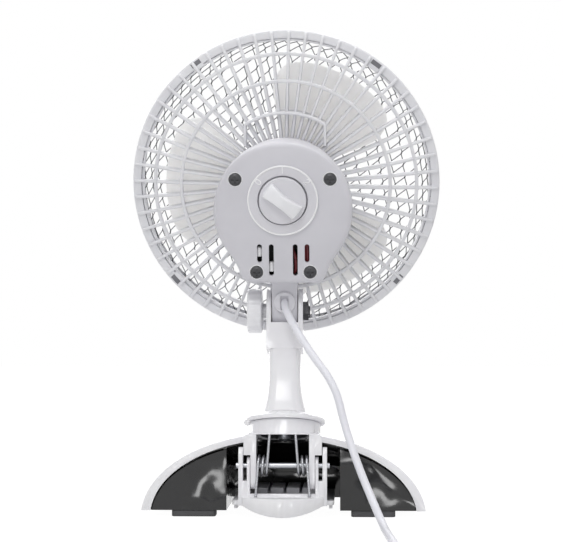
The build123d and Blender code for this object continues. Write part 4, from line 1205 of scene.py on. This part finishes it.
@dataclass
class MotorHousing(Assembly):
    """Housing, rear cover, dial ring with its marks, speed knob and what shows in the vents."""

    place: Place = FAN_FRAME
    body: Body | None = Body.HEAD
    disc_radius: float = 41.1
    disc_drop: float = 6.9
    skirt_bottom: float = 50.4
    skirt_half: float = 24.2
    skirt_slope: float = 0.2925
    skirt_top: float = -20.0
    corner_width: float = 6.0
    corner_cut: float = 1.5
    merge_width: float = 4.0
    ray_drop: float = -12.0
    back: float = 47.5
    ring_outer: float = 20.9
    ring_inner: float = 14.75
    knob_radius: float = 13.95
    grip_half: float = 11.5
    grip_waist: float = 3.6
    grip_flare: float = 1.4
    grip_height: float = 7.6
    grip_fall: float = 0.42
    stroke: float = 0.32
    mark_step: float = 52.0
    mark_radius: float = 18.1
    vent_radius: float = 1.45
    vents: tuple = ((14.1, 26.6, 37.6), (7.1, 26.6, 45.7))
    screws: tuple = ((27.9, 12.4), (15.9, -43.5))
    tongue_axis: tuple = (23.5, -73.5)
    tongue_radius: float = 11.7

    def build(self) -> None:
        """Build and dress the housing's pieces."""
        self.housing()
        self.cover()
        self.dial()
        self.knob()
        self.wiring()
        self.dress_nodes(
            {
                Finish.BLACKENED_SCREW: ["cover_screws"],
                # The grommet takes the darker white, painted shade.
                Finish.WHITE_ABS_DIAL: ["cord_grommet"],
                Finish.IVORY_NYLON: ["switch_body", "switch_shaft"],
                Finish.LAMINATION_STEEL: ["motor_core", "motor_rotor"],
                Finish.VARNISHED_WINDING: ["motor_coil"],
                Finish.ZINC_PLATED_STEEL: [
                    "motor_shaft", "motor_bracket_front", "motor_bracket_rear", "motor_screws",
                ],
                Finish.SINTERED_BRONZE: ["bush_front", "bush_rear"],
            }
        )

    def distance(self, x: Array, z: Array) -> Array:
        """Signed distance to the housing's outline, below 0 inside.

        It is a smooth union of a disc and a tapered skirt whose corners are rounded.

        Args:
            x: Positions across.
            z: Heights.

        Returns:
            Distances.
        """
        disc = np.hypot(x, z + self.disc_drop) - self.disc_radius
        slant = np.hypot(1, self.skirt_slope)
        side = (np.abs(x) - self.skirt_half - self.skirt_slope * (z + self.skirt_bottom)) / slant
        bottom = -self.skirt_bottom - z
        round_off = np.maximum(self.corner_width - np.abs(side - bottom), 0) / self.corner_width
        skirt = np.maximum(side, bottom) + round_off**2 * self.corner_cut
        skirt = np.maximum(skirt, z - self.skirt_top)
        merge = np.maximum(self.merge_width - np.abs(disc - skirt), 0) / self.merge_width
        return np.minimum(disc, skirt) - merge**2

    def outline(self, inset: float, count: int = 200) -> Array:
        """The outline, smaller by an inset, found along rays by halving the interval.

        Args:
            inset: Distance inside the outline.
            count: Number of rays.

        Returns:
            Points as rows of x and z.
        """
        angle = np.linspace(0, FULL_TURN, count, endpoint=False)
        way_x, way_z = np.sin(angle), np.cos(angle)
        low, high = np.full(count, 5.0), np.full(count, 70.0)
        for _ in range(40):
            middle = (low + high) / 2
            inside = self.distance(middle * way_x, self.ray_drop + middle * way_z) < -inset
            low, high = np.where(inside, middle, low), np.where(inside, high, middle)
        return np.stack([low * way_x, self.ray_drop + low * way_z], axis=1)

    def levels(self, *pairs: tuple[float, float]) -> Shape:
        """A skin over the outline at several heights.

        Args:
            pairs: Insets and heights.

        Returns:
            Points and faces.
        """
        return stack(
            np.array([np.insert(self.outline(inset), Axis.Y, height, axis=1) for inset, height in pairs])
        )

    def housing(self) -> None:
        """The housing's outside, with the tongue of the tilt joint below it."""
        shell = self.levels(
            (5.9, 0.0), (4.7, 0.5), (4.1, 1.4), (3.8, 2.6), (0.4, 31.0), (0.0, 35.5), (0.25, 35.95)
        )
        shape, white = joined([shell, self.tongue()]), Finish.WHITE_ABS_HOUSING
        self.add("housing_shell", shape, white, Slot.HOUSING, "motor_housing", crease=40)

    def tongue(self) -> Shape:
        """The tongue: a side view of (y, z) with rounded edges, carried across the fan.

        Returns:
            Points and faces.
        """
        (y, z), radius = self.tongue_axis, self.tongue_radius
        turn = np.radians(np.linspace(180, 360, 49))
        barrel = np.stack([y + radius * np.cos(turn), z + radius * np.sin(turn)], axis=1)
        corners = np.concatenate([barrel, [(y + radius, -49.0), (y - radius - 3, -49.0)]])
        away = corners - self.tongue_axis
        length = np.linalg.norm(away, axis=1, keepdims=True)
        ends = ((-7.7, 0.7), (-7.5, 0.25), (-7.0, 0.0), (7.0, 0.0), (7.5, 0.25), (7.7, 0.7))
        loops = [
            np.insert(np.array(self.tongue_axis) + away * (1 - shrink / length), Axis.X, x, axis=1)
            for x, shrink in ends
        ]
        return stack(np.array(loops))

    def cover(self) -> None:
        """The rear cover: rounded outline levels with vents and screw seats cut out."""
        shell = self.levels(
            (0.35, 36.0), (0.0, 36.4), (0.0, 45.4), (0.15, 46.1), (0.7, 46.8), (1.7, 47.25), (3.1, self.back)
        )
        white, slot = Finish.WHITE_ABS_HOUSING, Slot.HOUSING
        piece = self.add("housing_cover", shell, white, slot, "rear_cover", crease=40)
        seat = lathe(np.array([(0, 46.9), (3.9, 46.9), (4.15, 47.7), (0, 47.7)]), 40, closed=False)
        bore = lathe(np.array([(0, 44.0), (4.4, 44.0), (4.4, 49.0), (0, 49.0)]), 48, closed=False)
        edge = self.ring_inner - 0.02
        groove = lathe(np.array([(12.4, 45.8), (edge, 45.8), (edge, 49.0), (12.4, 49.0)]), 120)
        places = [(side * x, 0, z) for x, z in self.screws for side in (-1, 1)]
        cutters = [self.levels((2.0, 35.0), (2.0, 45.5))]
        cutters += [self.vent(side * x, top, bottom) for x, top, bottom in self.vents for side in (-1, 1)]
        cutters += [moved(seat, way) for way in places]
        for shape in (*cutters, bore, groove):
            cut(piece, shape, FAN_FRAME)
        clean(piece.data, 32)
        round_edges(piece, 0.25, crease=40, harden=False)
        # Bright rims round the screw seats: painted highlight.
        rim = lathe(rounded([(3.95, 47.2), (3.95, 47.66), (4.4, 47.66), (4.4, 47.2)], 0.2), 48)
        self.add("cover_screw_rims", joined([moved(rim, way) for way in places]), Finish.WHITE_ABS_MARK, slot)

    def vent(self, x: float, top: float, bottom: float) -> Shape:
        """A slot with round ends, as a prism through the cover.

        Args:
            x: Its place across.
            top: Its upper end below the fan axis.
            bottom: Its lower end below the fan axis.

        Returns:
            Points and faces.
        """
        radius = self.vent_radius
        turn = np.radians(np.linspace(0, 180, 13))
        upper = np.stack([radius * np.cos(turn), -top - radius + radius * np.sin(turn)], axis=1)
        lower = np.stack([-radius * np.cos(turn), -bottom + radius - radius * np.sin(turn)], axis=1)
        return prism(np.concatenate([upper, lower]) + (x, 0), (44.0, 49.0))

    def wiring(self) -> None:
        """What shows in the vents and the grommet: two caps in the brighter white of painted highlight, a
        black card of painted shade behind the vents, three leads, and a black core of painted shade in the
        grommet's hole.
        """
        # The caps take the brighter white, a painted highlight.
        corners = [(0, -2.9), (2.3, -2.9), (2.1, 1.9), (1.5, 2.9), (0, 2.9)]
        cap = lathe(rounded(corners, [0, 0.5, 0.8, 0.8, 0], 4, closed=False), 24, Axis.Z, closed=False)
        caps = joined([moved(cap, way) for way in ((14.3, 43.1, -31.7), (7.2, 43.1, -40.9))])
        self.add("lead_splice_caps", caps, Finish.WHITE_ABS_MARK, Slot.SWITCH, "splice_caps")
        # A black card behind the vents: painted shade of the housing's inside.
        card = rounded([(-20.0, -24.0), (20.0, -24.0), (20.0, -47.0), (-20.0, -47.0)], 1.0)
        self.add("insulation_card", prism(card, (36.4, 36.7)), Finish.BLACK_CARD, Slot.SWITCH)
        leads, sleeves, hint = [], [], (0.1, 0.9, 0.4)
        for x, top, bottom in ((-14.0, -21.0, -40.0), (-12.2, -22.5, -42.0), (-7.1, -35.0, -44.5)):
            upper = [(x + 4, 36.0, top + 9), (x, 43.6, top)]
            lower = [(x - 0.6, 43.6, bottom), (x + 5, 38.0, bottom - 2.5)]
            path = rounded(upper + lower, 5.0, 8, closed=False)
            leads.append(tube(path, 1.05, 10, hint))
            sleeves.append(tube(np.array([path[7], path[7] * 0.6 + path[8] * 0.4]), 1.2, 12, hint))
        self.add("switch_leads", joined(leads), Finish.DARK_RED_LEAD, Slot.WIRE, "lead_wires")
        self.add("lead_sleeves", joined(sleeves), Finish.CHARCOAL_ABS, Slot.WIRE)
        # A black core in the grommet's hole: painted shade.
        hole = rounded([(-2.35, -4.2), (2.35, -4.2), (2.35, 4.2), (-2.35, 4.2)], 0.3) + (0.0, -65.0)
        self.add("grommet_core", prism(hole, (30.4, 33.4)), Finish.BLACK_CARD, Slot.GROMMET)

    def dial(self) -> None:
        """The dial ring with raised marks for off, slow and fast."""
        base, top = self.back - 0.4, self.back + 1.5
        inner, outer = self.ring_inner, self.ring_outer
        corners = [(inner, base), (inner, top - 0.1), (outer - 0.3, top - 0.1), (outer - 0.1, base)]
        # The bead and the marks take the brighter white, a painted highlight; the ring takes the darker
        # white, painted shade.
        bead = rounded([(-1.0, -0.9), (-1.0, 0.45), (0.0, 0.45), (0.0, -0.9)], 0.42) + (outer, top)
        self.add("dial_bead", lathe(bead, 144), Finish.WHITE_ABS_MARK, Slot.DIAL)
        ring = lathe(rounded(corners, [0.1, 0.35, 0.2, 0.1]), 144)
        self.add("dial_ring_moulded", ring, Finish.WHITE_ABS_DIAL, Slot.DIAL, "dial_ring")
        turn = np.linspace(0, FULL_TURN, 33)
        zero = np.stack([1.15 * np.sin(turn), 1.75 * np.cos(turn)], axis=1)
        bar = np.array([(0.0, -1.9), (0.0, 1.9)])
        bow = np.radians(np.linspace(170, -40, 15))
        hook = np.stack([1.05 * np.cos(bow), 0.7 + 1.05 * np.sin(bow)], axis=1)
        two = np.concatenate([hook, [(-1.1, -1.75), (1.15, -1.75)]])
        strokes = []
        for line, angle in ((zero, -self.mark_step), (bar, 0.0), (two, self.mark_step)):
            cosine, sine = np.cos(np.radians(angle)), np.sin(np.radians(angle))
            right, up = line[:, 0], line[:, 1] + self.mark_radius
            # Seen from behind, right is -x. The marks lie radially round the dial.
            flat = np.stack([-(right * cosine + up * sine), -right * sine + up * cosine], axis=1)
            path = np.insert(flat, Axis.Y, top + 0.02, axis=1)
            strokes.append(tube(path, self.stroke, 8, (0.03, 1.0, 0.02)))
        self.add("dial_marks", joined(strokes), Finish.WHITE_ABS_MARK, Slot.DIAL)

    def knob(self) -> None:
        """The speed knob: a round base with a skirt and a waisted grip with a flat face.

        The grip's half width grows from the waist to the ends as the square of the distance
        u along it, and its height falls with that square too. Across it the height is
        (1 - |v|^9)^(1/9), so that its sides stand steep under a flat face.
        """
        low, radius, neck = self.back + 0.3, self.knob_radius, 12.9
        base = [
            (0, low), (neck, low), (neck, low - 1.6), (radius, low - 1.6),
            (radius, low + 2.9), (radius - 0.5, low + 3.3), (0, low + 3.3),
        ]
        disc = lathe(rounded(base, [0, 0.2, 0.2, 0.2, 0.5, 0.5, 0], 5, closed=False), 120, closed=False)
        rows, columns = 41, 29
        u = np.linspace(-1, 1, rows)[:, None]
        v = np.sin(np.linspace(-np.pi / 2, np.pi / 2, columns))[None, :]
        along = u * (self.grip_half + 0.4 * (1 - v**2))
        across = (self.grip_waist + self.grip_flare * u**2) * v
        end = (1 - np.abs(u) ** 24) ** (1 / 4)
        height = self.grip_height * (1 - np.abs(v) ** 9) ** (1 / 9) * end * (1 - self.grip_fall * u**2)
        points = np.stack([across * np.ones_like(along), low + 3.1 + height, along], axis=-1)
        faces = grid_faces(rows, columns) + [grid_border(rows, columns).tolist()]
        ridge = np.array([(0, low + 9.45, 7.0), (0, low + 8.9, 8.6), (0, low + 8.2, 10.2)])
        grip = joined([(points.reshape(-1, 3), faces), tube(ridge, 0.22, 8, (1.0, 0.1, 0.1))])
        # The disc takes the darker white, painted shade; the grip keeps the plain white.
        for name, shape, finish, nodes in (
            ("speed_knob_disc", disc, Finish.WHITE_ABS_DIAL, ["speed_knob"]),
            ("speed_knob_grip", grip, Finish.WHITE_ABS_KNOB, []),
        ):
            shape = turned(shape, self.mark_step)
            self.add(name, shape, finish, Slot.KNOB, *nodes, body=Body.KNOB, crease=42)


@dataclass
class StemAndClamp(Assembly):
    """Stem with flange and fork, tilt knob, bolt, nut and washers."""

    place: Place = TILT_FRAME
    body: Body | None = Body.CLAMP_KNOB
    ear_outer: float = 11.0
    knob_radius: float = 13.6
    knob_face: float = 14.05
    knob_thickness: float = 8.9
    flutes: int = 20
    flute_depth: float = 0.018
    flute_start: float = 11.5
    flute_run_in: float = 1.6

    def build(self) -> None:
        """Build and dress the stem's pieces."""
        self.soften("stem", Finish.POLISHED_WHITE_ABS, Slot.STEM, 0.7, Body.STEM)
        self.knob()
        self.dress_nodes(
            {
                Finish.ZINC_PLATED_STEEL: ["swivel_washer", "swivel_screw"],
                Finish.BLACKENED_SCREW: ["tilt_nut", "tilt_bolt"],
                Finish.IVORY_NYLON: ["tilt_washers"],
            }
        )

    def knob(self) -> None:
        """The clamp knob: a turned profile whose rim is fluted by a cosine of the angle."""
        start, face, neck, radius = self.ear_outer + 0.05, self.knob_face, 4.6, self.knob_radius
        end = face + self.knob_thickness
        corners = [(0, start), (neck, start), (neck, face), (radius, face), (radius, end), (0, end)]
        profile = rounded(corners, [0, 0.4, 1.2, 1.3, 1.5, 0], 6, closed=False)
        points, faces = lathe(profile, 144, Axis.X, closed=False)
        distance = np.hypot(points[:, 1], points[:, 2])
        angle = np.arctan2(points[:, 2], points[:, 1])
        share = np.clip((distance - self.flute_start) / self.flute_run_in, 0, 1)
        factor = 1 - share * self.flute_depth * (0.5 - 0.5 * np.cos(self.flutes * angle))
        fluted = points * np.stack([np.ones_like(factor), factor, factor], axis=1), faces
        self.add("tilt_knob_moulded", fluted, Finish.WHITE_ABS_KNOB, Slot.KNOB, "tilt_knob", crease=45)


@dataclass
class ClipBase(Assembly):
    """Dome, tray, feet, clip lever, pads, pin and springs."""

    opening_half: float = 15.5
    opening_span: tuple = (40.0, 49.1)
    opening_reach: tuple = (20.0, 50.0)
    leg_top: float = 24.5
    leg_end: float = 3.0

    def build(self) -> None:
        """Build and dress the base's pieces."""
        half, (low, high) = self.opening_half, self.opening_span
        shell = self.soften("base_shell", Finish.POLISHED_WHITE_ABS, Slot.BASE, 0.5, Body.BASE)
        opening = np.array([(-half, low), (half, low), (half, high), (-half, high)])
        cut(shell, prism(opening, self.opening_reach), TABLE)
        self.soften("clip_lever", Finish.POLISHED_WHITE_ABS, Slot.BASE, 0.5, Body.LEVER)
        self.soften("base_liner", Finish.CHARCOAL_ABS, Slot.LINER, 0.4, Body.BASE)
        self.soften("rubber_feet", Finish.BLACK_FOOT_RUBBER, Slot.FOOT, 0.5, Body.BASE)
        # The pads take a lighter grey than their rubber, painted light.
        self.soften("jaw_pad", Finish.GREY_PAD_RUBBER, Slot.PAD, 0.5, Body.LEVER)
        self.dress_nodes({Finish.ZINC_PLATED_STEEL: ["base_screws", "hinge_pin"]})
        for node in ("spring_left", "spring_right"):
            self.spring(node)

    def spring(self, node: str) -> None:
        """A torsion spring, copied from its CAD node and left unattached.

        Args:
            node: The CAD node that it stands for.
        """
        piece = copied(node, "wire")
        clean(piece.data, 40)
        self.dress(piece, Finish.SPRING_STEEL, Slot.SPRING, [node], None)
        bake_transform(piece)


@dataclass
class MainsCord(Assembly):
    """The cord from the grommet to its plug: a falling run, a run on the table and a coil."""

    radius: float = 2.25
    seat: tuple = (0.0, 30.2, -65.0)
    first_run: float = 13.8
    route: tuple = (
        (-5.0, 37.7, 114.8), (-15.1, 48.7, 98.6), (-31.0, 57.5, 78.0), (-36.3, 63.0, 55.0),
        (-44.6, 72.0, 31.0), (-53.2, 86.0, 11.5), (-57.8, 107.0, 2.25), (-59.4, 140.0, 2.25),
        (-62.0, 184.0, 2.25), (-61.0, 228.0, 2.25),
    )
    coil_entry_x: float = -61.0
    coil_centre_y: float = 268.0
    coil_middle: float = 27.0
    layer_turns: float = 3.375
    turn_step: float = 5.0
    tail: float = 12.0
    points_a_turn: int = 12
    sleeve_length: float = 34.0
    lying_height: float = 6.0
    sides: int = 16

    def build(self) -> None:
        """Build the cord, its first length at the grommet, and the plug."""
        line = self.centre_line()
        steps = np.linalg.norm(np.diff(line, axis=0), axis=1)
        run = np.concatenate([[0], np.cumsum(steps)])
        LOG.info("cord centre line %.0f mm", run[-1])
        split = int(np.searchsorted(run, self.sleeve_length))
        sheath = Finish.WHITE_PVC_CORD
        start, rest = (tube(part, self.radius, self.sides) for part in (line[: split + 1], line[split:]))
        lead = self.add("cord_lead", start, sheath, Slot.CORD)
        cord = self.add("mains_cord", rest, sheath, Slot.CORD, "cord", "cord_coil")
        self.bend(lead, Body.HEAD, Body.STEM, line[split // 3], line[split])
        low = np.argmax(line[:, 2] < self.lying_height)
        self.bend(cord, Body.STEM, Body.BASE, line[split], line[low])
        plug = self.soften("plug", sheath, Slot.CORD, 0.6, Body.BASE)
        self.dress_nodes({Finish.NICKEL_PLATE: ["plug_pins"]})

    @staticmethod
    def bend(piece: bpy.types.Object, first: Body, second: Body, start: Array, end: Array) -> None:
        """Bake a piece of cord's place into its mesh.

        Args:
            piece: The piece.
            first: The body that its start would follow; not used.
            second: The body that its end would follow; not used.
            start: Where it begins to leave the first body, in millimetres.
            end: Where it has joined the second body.
        """
        start, end = tuple(start * MILLIMETRE), tuple(end * MILLIMETRE)
        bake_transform(piece)

    def controls(self) -> Array:
        """Control points of the cord's spline: its route, the coil's turns and its tail.

        The coil's lower layer winds in, it climbs a layer in half a turn, and the upper
        layer winds out. A quadratic spline runs inside its control points by about
        (1 - cos(a)) / 4 of the radius for a step of a, so the turns' points lie outside by that.

        Returns:
            Points as rows, in millimetres.
        """
        seat, step = np.array([self.seat]), self.turn_step
        start = FAN_FRAME.world(seat)[0]
        way = FAN_FRAME.world(seat + (0, self.first_run, 0))[0]
        total = 2 * self.layer_turns + 0.5
        outer = self.coil_middle + self.layer_turns * step / 2
        inner = self.coil_middle - self.layer_turns * step / 2
        turn = np.arange(0.5 / self.points_a_turn, total, 1 / self.points_a_turn)
        climb = np.clip((turn - self.layer_turns) / 0.5, 0, 1)
        radius = np.where(turn <= self.layer_turns, outer - step * turn, outer - step * (total - turn))
        radius = np.where((climb > 0) & (climb < 1), inner - step * np.sin(np.pi * climb) / 4, radius)
        height = self.radius + step * (1 - np.cos(np.pi * climb)) / 2
        outside = 1 / (0.75 + 0.25 * np.cos(FULL_TURN / self.points_a_turn))
        angle = np.pi - 2 * np.pi * turn
        x, y = self.coil_entry_x + outer, self.coil_centre_y
        coil = [x + outside * radius * np.cos(angle), y + outside * radius * np.sin(angle), height]
        top = self.radius + step
        tail = [(x, y + outer, top), (x + self.tail, y + outer, top)]
        entry = [(self.coil_entry_x, self.coil_centre_y - 6, self.radius)]
        return np.concatenate([[start, way], self.route, entry, np.stack(coil, axis=1), tail])

    def centre_line(self) -> Array:
        """The cord's smooth centre line, read from a spline through its control points.

        Returns:
            Points as rows, in millimetres.
        """
        controls = self.controls()
        curve = bpy.data.curves.new("cord_line", "CURVE")
        curve.dimensions = "3D"
        spline = curve.splines.new("NURBS")
        spline.points.add(len(controls) - 1)
        flat = np.column_stack([controls * MILLIMETRE, np.ones(len(controls))])
        spline.points.foreach_set("co", flat.ravel())
        spline.order_u = 3
        spline.use_endpoint_u = True
        spline.resolution_u = 8
        holder = new_object("cord_line", curve)
        bpy.context.view_layer.update()
        mesh = bpy.data.meshes.new_from_object(holder)
        points = np.empty(len(mesh.vertices) * 3, np.float32)
        mesh.vertices.foreach_get("co", points)
        bpy.data.objects.remove(holder)
        bpy.data.curves.remove(curve)
        bpy.data.meshes.remove(mesh)
        return points.reshape(-1, 3).astype(float) / MILLIMETRE


# ---- Studio -------------------------------------------------------------------------------


def seen_by(tree: bpy.types.NodeTree, *rays: str) -> Socket:
    """A switch for the rays that show a surface as a background.

    Args:
        tree: The node tree.
        rays: Outputs of the Light Path node.

    Returns:
        1 for these rays and 0 for all others.
    """
    path = add_node(tree, "LightPath")
    seen = path.outputs[rays[0]]
    for ray in rays[1:]:
        links = {0: seen, 1: path.outputs[ray]}
        seen = add_node(tree, "Math", {"operation": "MAXIMUM"}, links).outputs[0]
    return seen


@dataclass
class Studio:
    """Camera, pale floor and soft light."""

    eye: tuple = (-37.61, 1025.59, 109.98)
    focal_pixels: float = 1673.78
    yaw: float = -0.0390005
    pitch: float = 0.0353251
    sensor: float = 36.0
    ambient: float = 0.4
    floor_half: float = 4000.0
    floor_colour: str = "#dedede"
    floor_share: float = 0.85
    floor_glow: float = 1.15
    white: tuple = (1, 1, 1, 1)
    middle: tuple = (0, 0, 150)

    def build(self) -> None:
        """Set up the camera, world, floor and lamps."""
        bpy.context.scene.view_settings.view_transform = "Standard"
        self.camera()
        self.world()
        self.floor()
        self.lamp("top_softbox", (-60, 100, 950), (0, 0, 120), 900, 4.4)
        self.lamp("key_softbox", (160, 900, 760), self.middle, 320, 2.3)
        self.lamp("front_softbox", (350, -850, 420), self.middle, 1000, 6.4)
        self.lamp("left_softbox", (800, 500, 420), self.middle, 700, 0.35)
        self.lamp("right_softbox", (-800, 500, 420), self.middle, 700, 0.15)
        self.lamp("left_glint", (170, 1000, 50), (60, 35, 20), 130, 0.45)
        self.lamp("right_glint", (-260, 1000, 50), (-60, 35, 20), 130, 0.45)

    def camera(self) -> None:
        """The camera that the photograph's marks were fitted to."""
        data = bpy.data.cameras.new("camera")
        data.sensor_width = self.sensor
        data.lens = self.sensor * self.focal_pixels / PHOTO_WIDTH
        data.clip_start, data.clip_end = 0.05, 20
        camera = new_object("camera", data)
        yaw, pitch = self.yaw, self.pitch
        forward = Vector((-np.sin(yaw) * np.cos(pitch), -np.cos(yaw) * np.cos(pitch), np.sin(pitch)))
        right = forward.cross(Vector((0, 0, 1))).normalized()
        turn = Matrix((right, right.cross(forward), -forward)).transposed().to_4x4()
        camera.matrix_world = Matrix.Translation(Vector(self.eye) * MILLIMETRE) @ turn
        bpy.context.scene.camera = camera

    def world(self) -> None:
        """An even studio, white wherever the camera or a reflection sees it."""
        world = bpy.data.worlds.new("studio")
        bpy.context.scene.world = world
        world.use_nodes = True
        tree = world.node_tree
        tree.nodes.clear()
        seen = seen_by(tree, "Is Camera Ray", "Is Glossy Ray", "Is Transmission Ray")
        strength = add_range(tree, seen, self.ambient, 1.0)
        light = add_node(tree, "Background", {"Color": self.white}, {"Strength": strength})
        add_node(tree, "OutputWorld", links={"Surface": light.outputs["Background"]})

    def floor(self) -> None:
        """A pale floor that keeps the object's soft shadow."""
        half = self.floor_half
        corners = np.array([(-half, -half, 0), (half, -half, 0), (half, half, 0), (-half, half, 0)])
        floor = new_object("floor", new_mesh("floor", (corners, [(0, 1, 2, 3)]), TABLE))
        material, tree = new_tree("pale_floor")
        seen = seen_by(tree, "Is Camera Ray", "Is Glossy Ray")
        share = add_range(tree, seen, 0.0, self.floor_share)
        paper = add_node(tree, "BsdfDiffuse", {"Color": linear(self.floor_colour)})
        white = add_node(tree, "Emission", {"Color": self.white, "Strength": self.floor_glow})
        links = {0: share, 1: paper.outputs["BSDF"], 2: white.outputs["Emission"]}
        mix = add_node(tree, "MixShader", links=links)
        add_node(tree, "OutputMaterial", links={"Surface": mix.outputs["Shader"]})
        floor.data.materials.append(material)

    @staticmethod
    def lamp(name: str, place: tuple, target: tuple, size: float, power: float) -> None:
        """A square softbox that looks at a point.

        Args:
            name: Its name.
            place: Its place in millimetres.
            target: The point it looks at.
            size: Its side in millimetres.
            power: Its power in watts.
        """
        data = bpy.data.lights.new(name, "AREA")
        data.energy = power
        data.size = size * MILLIMETRE
        lamp = new_object(name, data)
        lamp.location = Vector(place) * MILLIMETRE
        lamp.rotation_euler = (Vector(target) - Vector(place)).to_track_quat("-Z", "Y").to_euler()


def main() -> None:
    """Build the studio and every sub-assembly."""
    logging.basicConfig(level=logging.INFO, format="%(name)s: %(message)s")
    Studio().build()
    finishes = {finish: finish.value.material(finish.name.lower()) for finish in Finish}
    for assembly in (MainsCord, Cage, Rotor, MotorHousing, StemAndClamp, ClipBase):
        assembly(finishes).build()


if __name__ == "__main__":
    main()
